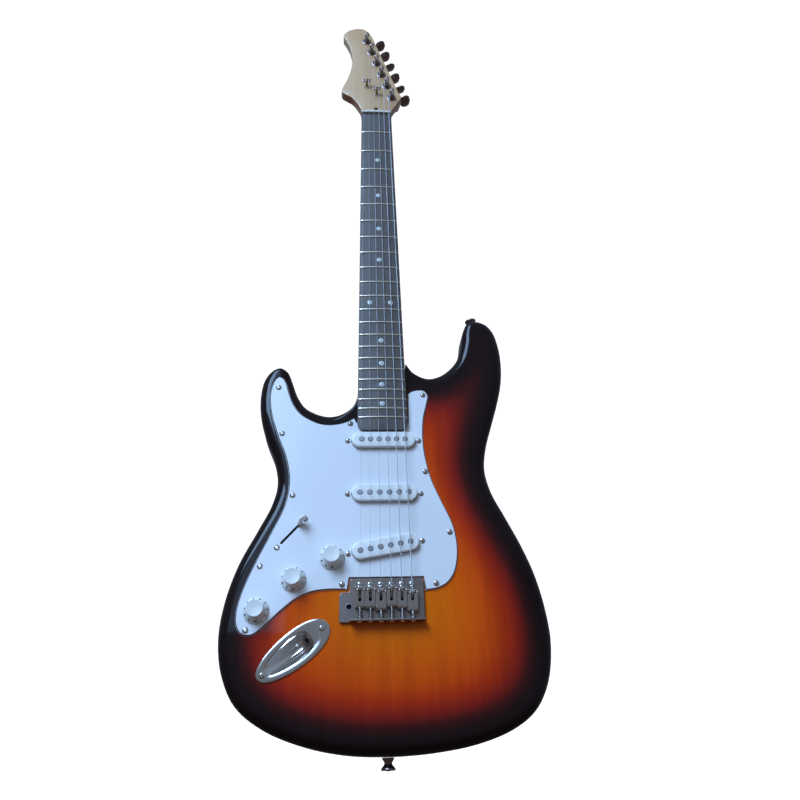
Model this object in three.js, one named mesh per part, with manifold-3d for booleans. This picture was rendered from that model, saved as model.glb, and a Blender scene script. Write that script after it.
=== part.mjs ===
// Solid-body electric guitar, left-handed, with a six-screw tremolo bridge.
// Millimetres. X is to the viewer's right, Y goes into the body (the face looks along -Y), Z is up the neck.
// The origin is on the centre line where the open string leaves the nut; Y = 0 is the fretboard's glue plane.
// Most outlines are given as [x, down], where "down" is the distance below the nut, so Z = -down.
import * as THREE from 'three';
import { mergeVertices } from 'three/addons/utils/BufferGeometryUtils.js';
import Module from 'manifold-3d';

const wasm = await Module();
wasm.setup();

// ---------------------------------------------------------------- driving dimensions
const SCALE_LENGTH = 648;
const FRET_COUNT = 22;
const FRET_RATIO = 2 ** (1 / 12);
const FIT_GAP = 0.3;
const GLUE_GAP = 0.05;
const WELD = 1e-4;
const ROUND_STEPS = 3;

const BODY_TOP = 4.2;
const BODY_THICKNESS = 44;
const BODY_BACK = BODY_TOP + BODY_THICKNESS;
const BODY_MIDDLE = BODY_TOP + BODY_THICKNESS / 2;
const BODY_ROUND = 11;
const BODY_ROUND_AT_NECK = 2;
const BODY_ROUND_STEPS = 2;
const CONTOUR_EDGE = 27;
const FOREARM = { x: 186, down: 704, rx: 76, rd: 132, depth: 14 };
const BELLY = { x: 130, down: 512, rx: 60, rd: 112, depth: 21 };

const POCKET_HALF = 28.4;
const POCKET_FLOOR = 19.3;
const HEEL_END = 468;
const POCKET_END = 468.4;
const HEEL_MOUTH = 380;
const PICKUP_ROUTE_FLOOR = 21.2;
const CONTROL_FLOOR = 38.2;
const SPRING_ROOF = 30;

const NUT_WIDTH = 41;
const NUT_LENGTH = 3.2;
const BOARD_WIDTH_AT_LAST_FRET = 55.4;
const BOARD_THICKNESS = 5.5;
const BOARD_RADIUS = 241;
const BOARD_END = 481.5;
const NECK_DEPTH_AT_NUT = 15.5;
const HEEL_DEPTH = 19;

const HEAD_FACE = 2.2;
const HEAD_THICKNESS = 13.5;
const HEAD_BACK = HEAD_FACE + HEAD_THICKNESS;

const GUARD_THICKNESS = 2.3;
const GUARD_BOTTOM = BODY_TOP - 0.2;
const GUARD_TOP = GUARD_BOTTOM - GUARD_THICKNESS;

const STRING_COUNT = 6;
const STRING_SPREAD_NUT = 34.5;
const STRING_SPREAD_BRIDGE = 52.5;
const STRING_RADII = [0.13, 0.165, 0.215, 0.33, 0.455, 0.585];

const POST_FIRST = { x: -11.9, down: -154.4 };
const POST_LAST = { x: 22.2, down: -39.6 };
const POST_TOP = HEAD_FACE - 14;
const POST_WAIST = 2.4;
const POST_HOLE = 4.4;
const KEY_AXIS_Y = 20.2;
const KEY_OFFSET = 7.2;
const KEY_REACH = 24;

const PIVOT = { down: 649.5, y: 2.2 };
const PLATE_TOP = 0.7;
const PLATE_THICKNESS = 2.3;
const BLOCK = { left: -40.8, right: 30.8, front: 658.5, back: 675.5, bottom: 40 };
const ARM_HOLE = { x: -36.9, down: 671.5, r: 2.8 };
const BALL_HOLE_DOWN = 664.5;
const SADDLE_PEAK_DOWN = 657.6;
const INTONATION = [-3, -2.5, -0.4, -3.4, -1.9, 0.9];
const SADDLE_LENGTH = 21;

const PICKUPS = [
  { name: 'pickup_neck', x: 0.7, down: 492, tilt: 0 },
  { name: 'pickup_middle', x: 0.7, down: 553.3, tilt: 0 },
  { name: 'pickup_bridge', x: 0.7, down: 611.3, tilt: -9.6 },
];
const COVER = { length: 70, width: 18, top: -3.8 };
const FLATWORK = { length: 83, width: 25 };

const KNOBS = [
  { name: 'volume', x: -54.3, down: 621.1 },
  { name: 'tone_1', x: -93, down: 642.8 },
  { name: 'tone_2', x: -128.2, down: 673.4 },
];
const SHAFT_R = 3;
const SHAFT_HOLE_R = 4.3;

const SWITCH = { x: -96.7, down: 595.2, slot: 31, pivotY: 21.7, rest: 30 };
const SWITCH_DIR = new THREE.Vector2(0.679, 0.735).normalize();
const JACK = { x: -90.8, down: 711.8, length: 84, width: 34, slant: 30, holeAlong: 17.3, bore: 6.1 };
const DISH = { centre: -5.5, half: 26.5, halfWidth: 12.9, deepest: 8 };
const JACK_DIR = new THREE.Vector2(0.795, 0.607).normalize();

// ---------------------------------------------------------------- finishes
const FINISH = {
  lacquer: { color: 0x5a1a10, roughness: 0.12, metalness: 0 },
  maple: { color: 0xd9c49c, roughness: 0.4, metalness: 0 },
  fretwood: { color: 0x23262b, roughness: 0.55, metalness: 0 },
  bone: { color: 0xe9e6da, roughness: 0.35, metalness: 0 },
  plastic: { color: 0xeef1f4, roughness: 0.25, metalness: 0 },
  chrome: { color: 0xd6d9dc, roughness: 0.12, metalness: 1 },
  darkChrome: { color: 0x6d6f75, roughness: 0.25, metalness: 1 },
  steel: { color: 0xa9abad, roughness: 0.35, metalness: 1 },
  spring: { color: 0xb9bbbd, roughness: 0.3, metalness: 1 },
};

// ---------------------------------------------------------------- general helpers
const group = new THREE.Group();
group.name = 'electric_guitar';

function rawTriangles(geometry) {
  const plain = new THREE.BufferGeometry();
  plain.setAttribute('position', geometry.attributes.position.clone());
  if (geometry.index) plain.setIndex(geometry.index.clone());
  const welded = mergeVertices(plain, WELD);
  const source = welded.index.array;
  const kept = [];
  for (let i = 0; i < source.length; i += 3) {
    const [a, b, c] = [source[i], source[i + 1], source[i + 2]];
    if (a !== b && b !== c && a !== c) kept.push(a, b, c);
  }
  return { position: welded.attributes.position.array, index: kept };
}

function signedVolume(position, index) {
  const a = new THREE.Vector3();
  const b = new THREE.Vector3();
  const c = new THREE.Vector3();
  let total = 0;
  for (let i = 0; i < index.length; i += 3) {
    a.fromArray(position, index[i] * 3);
    b.fromArray(position, index[i + 1] * 3);
    c.fromArray(position, index[i + 2] * 3);
    total += a.dot(b.cross(c));
  }
  return total;
}

function closed(geometry) {
  const { position, index } = rawTriangles(geometry);
  if (signedVolume(position, index) < 0) index.reverse();
  const result = new THREE.BufferGeometry();
  result.setAttribute('position', new THREE.BufferAttribute(new Float32Array(position), 3));
  result.setIndex(index);
  return result;
}

function toManifold(geometry) {
  const solid = closed(geometry);
  return new wasm.Manifold(new wasm.Mesh({
    numProp: 3,
    vertProperties: new Float32Array(solid.attributes.position.array),
    triVerts: new Uint32Array(solid.index.array),
  }));
}

function fromManifold(manifold) {
  const mesh = manifold.getMesh();
  const geometry = new THREE.BufferGeometry();
  geometry.setAttribute('position', new THREE.BufferAttribute(new Float32Array(mesh.vertProperties), 3));
  geometry.setIndex(Array.from(mesh.triVerts));
  return geometry;
}

function join(base, ...parts) {
  const result = parts.reduce((sum, part) => sum.add(toManifold(part)), toManifold(base));
  return fromManifold(result);
}

function cut(base, ...tools) {
  const result = tools.reduce((rest, tool) => rest.subtract(toManifold(tool)), toManifold(base));
  return fromManifold(result);
}

function common(first, second) {
  return fromManifold(toManifold(first).intersect(toManifold(second)));
}

function node(name, geometry, finish) {
  const solid = closed(geometry);
  solid.computeVertexNormals();
  const material = new THREE.MeshStandardMaterial(FINISH[finish]);
  material.name = finish;
  const mesh = new THREE.Mesh(solid, material);
  mesh.name = name;
  group.add(mesh);
}

function spline(points, loop, perSpan) {
  const knots = points.map(([x, down]) => new THREE.Vector3(x, -down, 0));
  const curve = new THREE.CatmullRomCurve3(knots, loop, 'centripetal');
  const spans = loop ? points.length : points.length - 1;
  const samples = curve.getPoints(spans * perSpan);
  if (loop) samples.pop();
  return samples.map((p) => new THREE.Vector2(p.x, p.y));
}

// A flat piece: shape in (x, z), front face at y = front, going back by thickness.
function plate(shape, front, thickness, bevel = 0) {
  const geometry = new THREE.ExtrudeGeometry(shape, {
    depth: thickness - 2 * bevel,
    bevelEnabled: bevel > 0,
    bevelSize: bevel,
    bevelThickness: bevel,
    bevelOffset: -bevel,
    bevelSegments: 1,
    curveSegments: ROUND_STEPS,
  });
  geometry.rotateX(Math.PI / 2);
  geometry.translate(0, front + thickness - bevel, 0);
  return geometry;
}

function roundedShape(width, height, radius) {
  const shape = new THREE.Shape();
  const [w, h] = [width / 2, height / 2];
  shape.moveTo(-w + radius, -h);
  shape.lineTo(w - radius, -h);
  shape.absarc(w - radius, -h + radius, radius, -Math.PI / 2, 0);
  shape.lineTo(w, h - radius);
  shape.absarc(w - radius, h - radius, radius, 0, Math.PI / 2);
  shape.lineTo(-w + radius, h);
  shape.absarc(-w + radius, h - radius, radius, Math.PI / 2, Math.PI);
  shape.lineTo(-w, -h + radius);
  shape.absarc(-w + radius, -h + radius, radius, Math.PI, Math.PI * 1.5);
  return shape;
}

// Rounded rectangle as a solid between two depths, centred on (x, down) and turned in the XZ plane.
function roundedBlock({ x, down, width, height, radius, front, back, turn = 0 }) {
  const geometry = plate(roundedShape(width, height, radius), front, back - front);
  geometry.rotateY(THREE.MathUtils.degToRad(turn));
  geometry.translate(x, 0, -down);
  return geometry;
}

function spanBlock({ left, right, top, bottom, radius, front, back }) {
  return roundedBlock({
    x: (left + right) / 2,
    down: (top + bottom) / 2,
    width: right - left,
    height: bottom - top,
    radius,
    front,
    back,
  });
}

// Turned piece about Y: profile of [radius, y] starting and ending on the axis.
function turned(profile, segments) {
  return new THREE.LatheGeometry(profile.map(([r, y]) => new THREE.Vector2(r, y)), segments);
}

function cylinder(radius, y0, y1, x, down, segments = 16) {
  const geometry = turned([[0, y0], [radius, y0], [radius, y1], [0, y1]], segments);
  geometry.translate(x, 0, -down);
  return geometry;
}

// Round bar along a polyline of points, one ring per point, capped at both ends.
function bar(points, radius, sides = 6) {
  const positions = [];
  const index = [];
  points.forEach((point, i) => {
    const before = points[Math.max(i - 1, 0)];
    const after = points[Math.min(i + 1, points.length - 1)];
    const inward = point.clone().sub(before).normalize();
    const outward = after.clone().sub(point).normalize();
    const along = inward.add(outward).normalize();
    const across = new THREE.Vector3(1, 0, 0).cross(along).normalize();
    const side = along.clone().cross(across).normalize();
    for (let k = 0; k < sides; k += 1) {
      const angle = (2 * Math.PI * k) / sides;
      const ring = point.clone()
        .addScaledVector(across, radius * Math.cos(angle))
        .addScaledVector(side, radius * Math.sin(angle));
      positions.push(ring.x, ring.y, ring.z);
    }
  });
  for (let i = 0; i < points.length - 1; i += 1) {
    for (let k = 0; k < sides; k += 1) {
      const a = i * sides + k;
      const b = i * sides + ((k + 1) % sides);
      index.push(a, b, a + sides, b, b + sides, a + sides);
    }
  }
  const last = (points.length - 1) * sides;
  for (let k = 1; k < sides - 1; k += 1) {
    index.push(0, k + 1, k, last, last + k, last + k + 1);
  }
  const geometry = new THREE.BufferGeometry();
  geometry.setAttribute('position', new THREE.Float32BufferAttribute(positions, 3));
  geometry.setIndex(index);
  return geometry;
}

// Skin over rings of equal length; the two end rings are closed by flat or near-flat caps.
function skin(rings, flatten, refineCap = null) {
  const count = rings[0].length;
  const points = rings.flat();
  const index = [];
  for (let i = 0; i < rings.length - 1; i += 1) {
    for (let k = 0; k < count; k += 1) {
      const a = i * count + k;
      const b = i * count + ((k + 1) % count);
      index.push(a, b, a + count, b, b + count, a + count);
    }
  }
  const cap = THREE.ShapeUtils.triangulateShape(rings[0].map(flatten), []);
  const startCap = cap.map(([a, b, c]) => [a, b, c]);
  const offset = (rings.length - 1) * count;
  const endFaces = THREE.ShapeUtils.triangulateShape(rings[rings.length - 1].map(flatten), []);
  const endCap = endFaces.map(([a, b, c]) => [a + offset, b + offset, c + offset]);
  const caps = refineCap
    ? [refineCap(startCap, points), refineCap(endCap, points)]
    : [startCap, endCap];
  caps.forEach((faces) => orientCap(faces, index));
  caps.forEach((faces) => faces.forEach((face) => index.push(...face)));
  const geometry = new THREE.BufferGeometry();
  const numbers = points.flatMap((p) => [p.x, p.y, p.z]);
  geometry.setAttribute('position', new THREE.Float32BufferAttribute(numbers, 3));
  geometry.setIndex(index);
  return geometry;
}

// Turns a cap's faces so that they run against the wall triangles along their shared edge.
function orientCap(faces, wallIndex) {
  const directed = new Set();
  for (let i = 0; i < wallIndex.length; i += 3) {
    for (let k = 0; k < 3; k += 1) {
      directed.add(`${wallIndex[i + k]},${wallIndex[i + ((k + 1) % 3)]}`);
    }
  }
  const clash = faces.some((face) => face.some((v, k) => directed.has(`${v},${face[(k + 1) % 3]}`)));
  if (clash) faces.forEach((face) => face.reverse());
}

// Splits cap edges longer than `limit` whose middle lies where `where` holds.
function splitLongEdges(faces, points, limit, where) {
  let current = faces;
  for (let pass = 0; pass < 6; pass += 1) {
    const middles = new Map();
    const middleOf = (a, b) => {
      const key = a < b ? `${a},${b}` : `${b},${a}`;
      if (!middles.has(key)) {
        const [p, q] = [points[a], points[b]];
        const middle = p.clone().add(q).multiplyScalar(0.5);
        const inner = !boundaryEdges.has(key);
        if (inner && p.distanceTo(q) > limit && where(middle)) {
          points.push(middle);
          middles.set(key, points.length - 1);
        } else {
          middles.set(key, null);
        }
      }
      return middles.get(key);
    };
    const seen = new Map();
    current.forEach((face) => face.forEach((v, k) => {
      const w = face[(k + 1) % 3];
      const key = v < w ? `${v},${w}` : `${w},${v}`;
      seen.set(key, (seen.get(key) || 0) + 1);
    }));
    const boundaryEdges = new Set([...seen].filter(([, n]) => n === 1).map(([key]) => key));
    const next = [];
    let changed = false;
    current.forEach(([a, b, c]) => {
      const [ab, bc, ca] = [middleOf(a, b), middleOf(b, c), middleOf(c, a)];
      const polygon = [a, ab, b, bc, c, ca].filter((v) => v !== null);
      if (polygon.length > 3) changed = true;
      if (polygon.length === 6) {
        next.push([a, ab, ca], [ab, b, bc], [ca, bc, c], [ab, bc, ca]);
      } else if (polygon.length === 3) {
        next.push([a, b, c]);
      } else {
        next.push(...fanFromMiddle(polygon, [ab, bc, ca]));
      }
    });
    current = next;
    if (!changed) break;
  }
  return current;
}

// Fans a triangle with one or two split edges out from one of the split points.
function fanFromMiddle(polygon, middles) {
  const start = polygon.findIndex((v) => middles.includes(v));
  const turnedRound = [...polygon.slice(start), ...polygon.slice(0, start)];
  const faces = [];
  for (let i = 1; i < turnedRound.length - 1; i += 1) {
    faces.push([turnedRound[0], turnedRound[i], turnedRound[i + 1]]);
  }
  return faces;
}

const shareOf = (i, count) => i / (count - 1);

function lerp(a, b, share) {
  return a + (b - a) * share;
}

// ---------------------------------------------------------------- body
const BODY_OUTLINE = [
  [0, 387], [18, 387], [27, 391], [37, 404], [52, 410], [67.5, 406], [81, 396], [90.5, 383.5],
  [96, 366], [99.5, 347.5], [106, 334.2], [118, 330.7], [128.5, 334], [137, 344.8], [142, 364],
  [143.5, 388], [141, 415], [134, 442.5], [125, 470], [116.5, 497.5], [113, 523], [118, 548.5],
  [131, 577], [145.5, 608.5], [158.5, 640.5], [167, 676], [169, 707], [161.5, 743], [145, 769.5],
  [120, 786.5], [86, 798], [45, 804.5], [0, 806.5], [-42, 804], [-83, 795], [-118.5, 780.5],
  [-145.5, 759.5], [-160, 730.5], [-165, 698], [-161.5, 664], [-150, 625.5], [-132, 589],
  [-119, 561.5], [-114, 538], [-118.5, 512], [-129.5, 483.5], [-136.5, 455], [-137.5, 430],
  [-133.5, 410], [-125.5, 400.5], [-116, 397.5], [-107.5, 402.5], [-102, 414.5], [-96, 431.5],
  [-87, 446], [-73.5, 454.5], [-57, 458.5], [-42.5, 455.5], [-32, 447], [-28, 434],
  [-26.5, 412], [-24, 395], [-14, 387],
];
const BODY_SAMPLES_PER_SPAN = 2;

function bump(patch, x, down) {
  const reach = ((x - patch.x) / patch.rx) ** 2 + ((down - patch.down) / patch.rd) ** 2;
  return reach < 1 ? patch.depth * (1 - reach) ** 2 : 0;
}

const frontDrop = (x, z) => bump(FOREARM, x, -z);
const backDrop = (x, z) => bump(BELLY, x, -z);

function roundAt(x, z) {
  const clearOfNeck = Math.max(Math.abs(x) - 30, -z - 470, 0);
  return Math.min(BODY_ROUND, BODY_ROUND_AT_NECK + clearOfNeck * 0.45);
}

function insetPoint(outline, i, distance) {
  const before = outline[(i + outline.length - 1) % outline.length];
  const after = outline[(i + 1) % outline.length];
  const along = after.clone().sub(before).normalize();
  return new THREE.Vector2(
    outline[i].x + along.y * distance,
    outline[i].y - along.x * distance,
  );
}

function bodyRing(outline, angle, side) {
  return outline.map((point, i) => {
    const radius = roundAt(point.x, point.y);
    const at = insetPoint(outline, i, radius * (1 - Math.cos(angle)));
    const drop = radius * (1 - Math.sin(angle));
    const y = side === 'front'
      ? BODY_TOP + frontDrop(at.x, at.y) + drop
      : BODY_BACK - backDrop(at.x, at.y) - drop;
    return new THREE.Vector3(at.x, y, at.y);
  });
}

function bodyBlank() {
  const outline = spline(BODY_OUTLINE, true, BODY_SAMPLES_PER_SPAN);
  const angles = Array.from(
    { length: BODY_ROUND_STEPS + 1 },
    (_, i) => (Math.PI / 2) * (i / BODY_ROUND_STEPS),
  );
  const frontRings = [...angles].reverse().map((angle) => bodyRing(outline, angle, 'front'));
  const backRings = angles.map((angle) => bodyRing(outline, angle, 'back'));
  const rings = [...frontRings, ...backRings];
  const shapeCap = (faces, points) => {
    const firstNew = points.length;
    const isFront = faces[0][0] < outline.length;
    const drop = isFront ? frontDrop : backDrop;
    const patch = isFront ? FOREARM : BELLY;
    const near = (p) => ((p.x - patch.x) / (patch.rx + 8)) ** 2
      + ((-p.z - patch.down) / (patch.rd + 8)) ** 2 < 1;
    const refined = splitLongEdges(faces, points, CONTOUR_EDGE, near);
    for (let i = firstNew; i < points.length; i += 1) {
      const depth = drop(points[i].x, points[i].z);
      points[i].y = isFront ? BODY_TOP + depth : BODY_BACK - depth;
    }
    return refined;
  };
  return skin(rings, (p) => new THREE.Vector2(p.x, p.z), shapeCap);
}

const CONTROL_OUTLINE = [
  [-38, 588], [-36, 624], [-58, 642], [-89, 658], [-117.5, 683], [-132, 688], [-141, 680],
  [-138, 660], [-126, 628], [-112, 590], [-92, 560], [-66, 560],
];

function controlCavity() {
  const shape = new THREE.Shape(spline(CONTROL_OUTLINE, true, 2));
  return plate(shape, -2, CONTROL_FLOOR + 2);
}

function pickupRoute(pickup) {
  return roundedBlock({
    x: pickup.x,
    down: pickup.down,
    width: FLATWORK.length + 3,
    height: FLATWORK.width + 5,
    radius: 5,
    front: -2,
    back: PICKUP_ROUTE_FLOOR,
    turn: pickup.tilt,
  });
}

function jackPoint(along, y) {
  return new THREE.Vector3(
    JACK.x + JACK_DIR.x * along,
    y,
    -JACK.down + JACK_DIR.y * along,
  );
}

const JACK_WALL_Y = BODY_TOP + 6.6;
const JACK_SLANT = THREE.MathUtils.degToRad(JACK.slant);

function alongJackAxis(distance) {
  return jackPoint(
    JACK.holeAlong + distance * Math.cos(JACK_SLANT),
    JACK_WALL_Y + distance * Math.sin(JACK_SLANT),
  );
}

function body() {
  const pocket = spanBlock({
    left: -POCKET_HALF,
    right: POCKET_HALF,
    top: HEEL_MOUTH,
    bottom: POCKET_END,
    radius: 1.5,
    front: -10,
    back: POCKET_FLOOR,
  });
  const channel = spanBlock({
    left: -9, right: 9, top: 480, bottom: 618, radius: 4, front: -2, back: PICKUP_ROUTE_FLOOR - 1,
  });
  const blockRoute = spanBlock({
    left: BLOCK.left - 1.5,
    right: BLOCK.right + 1.5,
    top: BLOCK.front - 1.2,
    bottom: 682.5,
    radius: 1,
    front: -2,
    back: BODY_BACK + 2,
  });
  const springRoute = spanBlock({
    left: -29, right: 29, top: 548, bottom: 668, radius: 4, front: SPRING_ROOF, back: BODY_BACK + 2,
  });
  const recessOutline = Array.from({ length: 20 }, (_, k) => dishEgg(k / 20, 1.12));
  const jackRecess = plate(new THREE.Shape(recessOutline), -2, 26);
  jackRecess.rotateY(-Math.atan2(JACK_DIR.y, JACK_DIR.x));
  jackRecess.translate(JACK.x, 0, -JACK.down);
  const jackBore = bar([alongJackAxis(-4), alongJackAxis(34)], 9.3, 14);
  const wireBore = bar([new THREE.Vector3(-66, 22, -692), new THREE.Vector3(-73, 22, -648)], 3.2, 8);
  return cut(
    bodyBlank(),
    pocket,
    channel,
    ...PICKUPS.map(pickupRoute),
    controlCavity(),
    blockRoute,
    springRoute,
    jackRecess,
    jackBore,
    wireBore,
  );
}

// ---------------------------------------------------------------- neck, fretboard, nut
const HEAD_OUTLINE_LEFT = [
  [-20.5, -7], [-21, -13], [-25, -23], [-33, -36], [-41, -42],
];
const HEAD_OUTLINE_UPPER = [
  [-47, -46.5], [-48.6, -52], [-45.5, -62], [-38.6, -80.7], [-34.3, -102], [-33.2, -118],
  [-36.4, -140], [-42.9, -157], [-46.3, -165.5], [-43.5, -173], [-35, -180], [-20.5, -183.3],
  [-10.5, -178], [-4.5, -168], [0.7, -152],
];
const HEAD_OUTLINE_LOWER = [
  [32.9, -50], [36, -43], [35.2, -36.5], [30, -27], [24.8, -18], [21.6, -11.5], [20.5, -7],
];

function headShape() {
  return new THREE.Shape([
    ...spline(HEAD_OUTLINE_LEFT, false, 2),
    ...spline(HEAD_OUTLINE_UPPER, false, 2),
    ...spline(HEAD_OUTLINE_LOWER, false, 2),
  ]);
}

const fretDown = (fret) => SCALE_LENGTH * (1 - FRET_RATIO ** -fret);

function boardWidth(down) {
  return lerp(NUT_WIDTH, BOARD_WIDTH_AT_LAST_FRET, down / fretDown(FRET_COUNT));
}

// One cross-section of the neck: flat front, back curve of a superellipse.
function neckRing({ down, front, depth, square, inset = 0 }) {
  const half = boardWidth(Math.max(down, 0)) / 2 - inset;
  const steps = 14;
  return Array.from({ length: steps + 1 }, (_, i) => {
    const angle = (Math.PI * i) / steps;
    const c = Math.cos(angle);
    const s = Math.sin(angle);
    const x = half * Math.sign(c) * Math.abs(c) ** (2 / square);
    const y = front + (depth - front) * Math.abs(s) ** (2 / square);
    return new THREE.Vector3(x, y, -down);
  });
}

function neckShaft() {
  const rings = [
    { down: HEEL_END, front: 0, depth: HEEL_DEPTH, square: 14 },
    { down: 400, front: 0, depth: HEEL_DEPTH, square: 14 },
    { down: 385, front: 0, depth: HEEL_DEPTH - 0.5, square: 7 },
    { down: 366, front: 0, depth: 17.2, square: 2.9 },
    { down: 340, front: 0, depth: 17, square: 2.4 },
    { down: 170, front: 0, depth: 16.3, square: 2.4 },
    { down: 0, front: 0, depth: NECK_DEPTH_AT_NUT, square: 2.4 },
    { down: -4.4, front: 0, depth: NECK_DEPTH_AT_NUT, square: 2.8 },
    { down: -7, front: 0.6, depth: NECK_DEPTH_AT_NUT, square: 3.6 },
    { down: -11, front: 1.7, depth: NECK_DEPTH_AT_NUT, square: 6 },
    { down: -17, front: HEAD_FACE + 0.2, depth: NECK_DEPTH_AT_NUT, square: 9 },
  ];
  return skin(rings.map(neckRing), (p) => new THREE.Vector2(p.x, p.y));
}

function postPlace(i) {
  const share = shareOf(i, STRING_COUNT);
  return {
    x: lerp(POST_FIRST.x, POST_LAST.x, share),
    down: lerp(POST_FIRST.down, POST_LAST.down, share),
  };
}

function neck() {
  const blank = join(neckShaft(), plate(headShape(), HEAD_FACE, HEAD_THICKNESS, 1.2));
  const postHoles = Array.from({ length: STRING_COUNT }, (_, i) => {
    const place = postPlace(i);
    return cylinder(POST_HOLE, HEAD_FACE - 5, HEAD_BACK + 5, place.x, place.down, 10);
  });
  const rodAccess = spanBlock({
    left: -2.6, right: 2.6, top: -19, bottom: -7, radius: 2.5, front: -1, back: 8,
  });
  return cut(blank, ...postHoles, rodAccess);
}

function fretboard() {
  const crowned = (down) => {
    const half = boardWidth(down) / 2 + 5;
    const steps = 8;
    const top = Array.from({ length: steps + 1 }, (_, i) => {
      const x = lerp(-half, half, i / steps);
      return new THREE.Vector3(x, -BOARD_THICKNESS + (x * x) / (2 * BOARD_RADIUS), -down);
    });
    return [...top, new THREE.Vector3(half, -GLUE_GAP, -down), new THREE.Vector3(-half, -GLUE_GAP, -down)];
  };
  const blank = skin([crowned(-5), crowned(BOARD_END + 5)], (p) => new THREE.Vector2(p.x, p.y));
  const [nutHalf, endHalf, corner] = [NUT_WIDTH / 2, boardWidth(BOARD_END) / 2, 9];
  const outline = new THREE.Shape();
  outline.moveTo(-nutHalf, 0);
  outline.lineTo(-endHalf, -BOARD_END + corner);
  outline.absarc(-endHalf + corner, -BOARD_END + corner, corner, Math.PI, Math.PI * 1.5);
  outline.lineTo(endHalf - corner, -BOARD_END);
  outline.absarc(endHalf - corner, -BOARD_END + corner, corner, -Math.PI / 2, 0);
  outline.lineTo(nutHalf, 0);
  return common(blank, plate(outline, -20, 40));
}

const stringAtNut = (i) => lerp(-STRING_SPREAD_NUT / 2, STRING_SPREAD_NUT / 2, shareOf(i, STRING_COUNT));
const stringAtBridge = (i) => lerp(
  -STRING_SPREAD_BRIDGE / 2,
  STRING_SPREAD_BRIDGE / 2,
  shareOf(i, STRING_COUNT),
);
const NUT_SLOT_FLOOR = -7;
const crownDrop = (x) => (x * x) / (2 * BOARD_RADIUS);
const nutStringY = (i) => NUT_SLOT_FLOOR + crownDrop(stringAtNut(i)) - STRING_RADII[i] - 0.15;

function nut() {
  const half = NUT_WIDTH / 2;
  const crown = (z) => {
    const steps = 8;
    const top = Array.from({ length: steps + 1 }, (_, i) => {
      const x = lerp(-half, half, i / steps);
      return new THREE.Vector3(x, -7.9 + crownDrop(x), z);
    });
    return [...top, new THREE.Vector3(half, -GLUE_GAP, z), new THREE.Vector3(-half, -GLUE_GAP, z)];
  };
  const blank = skin([crown(GLUE_GAP), crown(GLUE_GAP + NUT_LENGTH)], (p) => new THREE.Vector2(p.x, p.y));
  const slots = STRING_RADII.map((radius, i) => {
    const floor = NUT_SLOT_FLOOR + crownDrop(stringAtNut(i));
    const slot = new THREE.BoxGeometry(2 * radius + 0.4, 4, 12);
    slot.translate(stringAtNut(i), floor - 2, 2);
    return slot;
  });
  return cut(blank, ...slots);
}

// ---------------------------------------------------------------- pickguard and what it carries
const GUARD_LEFT = [
  [-31, 463], [-40, 468], [-53, 471.3], [-66.5, 471], [-79.5, 466], [-91, 458], [-99.3, 446],
  [-104.5, 432], [-108, 420], [-112, 413.5], [-116.6, 411.6], [-121.5, 416], [-125.2, 427],
  [-126.3, 440], [-123.5, 460], [-115, 487], [-105.5, 512], [-101.2, 538], [-105, 565],
  [-117.5, 594], [-132, 625], [-144, 655], [-148.5, 677], [-146, 691], [-139, 697],
  [-130, 696.5], [-121, 690], [-103, 673.5], [-88, 662], [-73, 656], [-57, 654.3], [-38, 654.3],
];
const GUARD_RIGHT = [
  [40.2, 656], [52, 654.6], [63.5, 649], [71.5, 638], [75.5, 622], [75.8, 604], [72, 585],
  [62, 561], [53, 538], [47.5, 514], [45.4, 490], [47, 465], [52, 444], [53.2, 436],
  [49.5, 429.6], [42.5, 428], [34, 430], [29.2, 433.5],
];

function guardShape() {
  const left = spline(GUARD_LEFT, false, 2);
  const right = spline(GUARD_RIGHT, false, 2);
  const notchTop = new THREE.Vector2(0, -(PIVOT.down - 6.7));
  const neckNotch = POCKET_HALF + 0.4;
  return new THREE.Shape([
    new THREE.Vector2(-neckNotch, -HEEL_END - 1),
    ...left,
    new THREE.Vector2(-37.6, notchTop.y),
    new THREE.Vector2(39.8, notchTop.y),
    ...right,
    new THREE.Vector2(neckNotch, -HEEL_END - 1),
  ]);
}

function pickguard() {
  const pickupHoles = PICKUPS.map((pickup) => roundedBlock({
    x: pickup.x,
    down: pickup.down,
    width: COVER.length + 0.8,
    height: COVER.width + 0.8,
    radius: COVER.width / 2 + 0.39,
    front: GUARD_TOP - 1,
    back: GUARD_BOTTOM + 1,
    turn: pickup.tilt,
  }));
  const shaftHoles = KNOBS.map(({ x, down }) => (
    cylinder(SHAFT_HOLE_R, GUARD_TOP - 1, GUARD_BOTTOM + 1, x, down, 16)
  ));
  const slot = plate(roundedShape(SWITCH.slot, 2.6, 1.25), GUARD_TOP - 1, GUARD_THICKNESS + 2);
  return cut(
    plate(guardShape(), GUARD_TOP, GUARD_THICKNESS),
    ...pickupHoles,
    ...shaftHoles,
    placeSwitch(slot),
  );
}

// Turns a piece drawn with its length along X to lie along the switch slot.
function placeSwitch(geometry) {
  geometry.rotateY(-Math.atan2(SWITCH_DIR.y, SWITCH_DIR.x));
  geometry.translate(SWITCH.x, 0, -SWITCH.down);
  return geometry;
}

function pickup(spec) {
  const cover = plate(roundedShape(COVER.length, COVER.width, COVER.width / 2 - 0.5), COVER.top, 12.8, 1);
  const flatwork = plate(roundedShape(FLATWORK.length, FLATWORK.width, 5), COVER.top + 12.7, 2);
  const geometry = join(cover, flatwork);
  geometry.rotateY(THREE.MathUtils.degToRad(spec.tilt));
  geometry.translate(spec.x, 0, -spec.down);
  return geometry;
}

const KNOB_SKIRT_BOTTOM = GUARD_TOP - 0.5;
const KNOB_SKIRT_R = 12.7;
const POT_FACE = GUARD_BOTTOM + 1.4;

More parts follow.
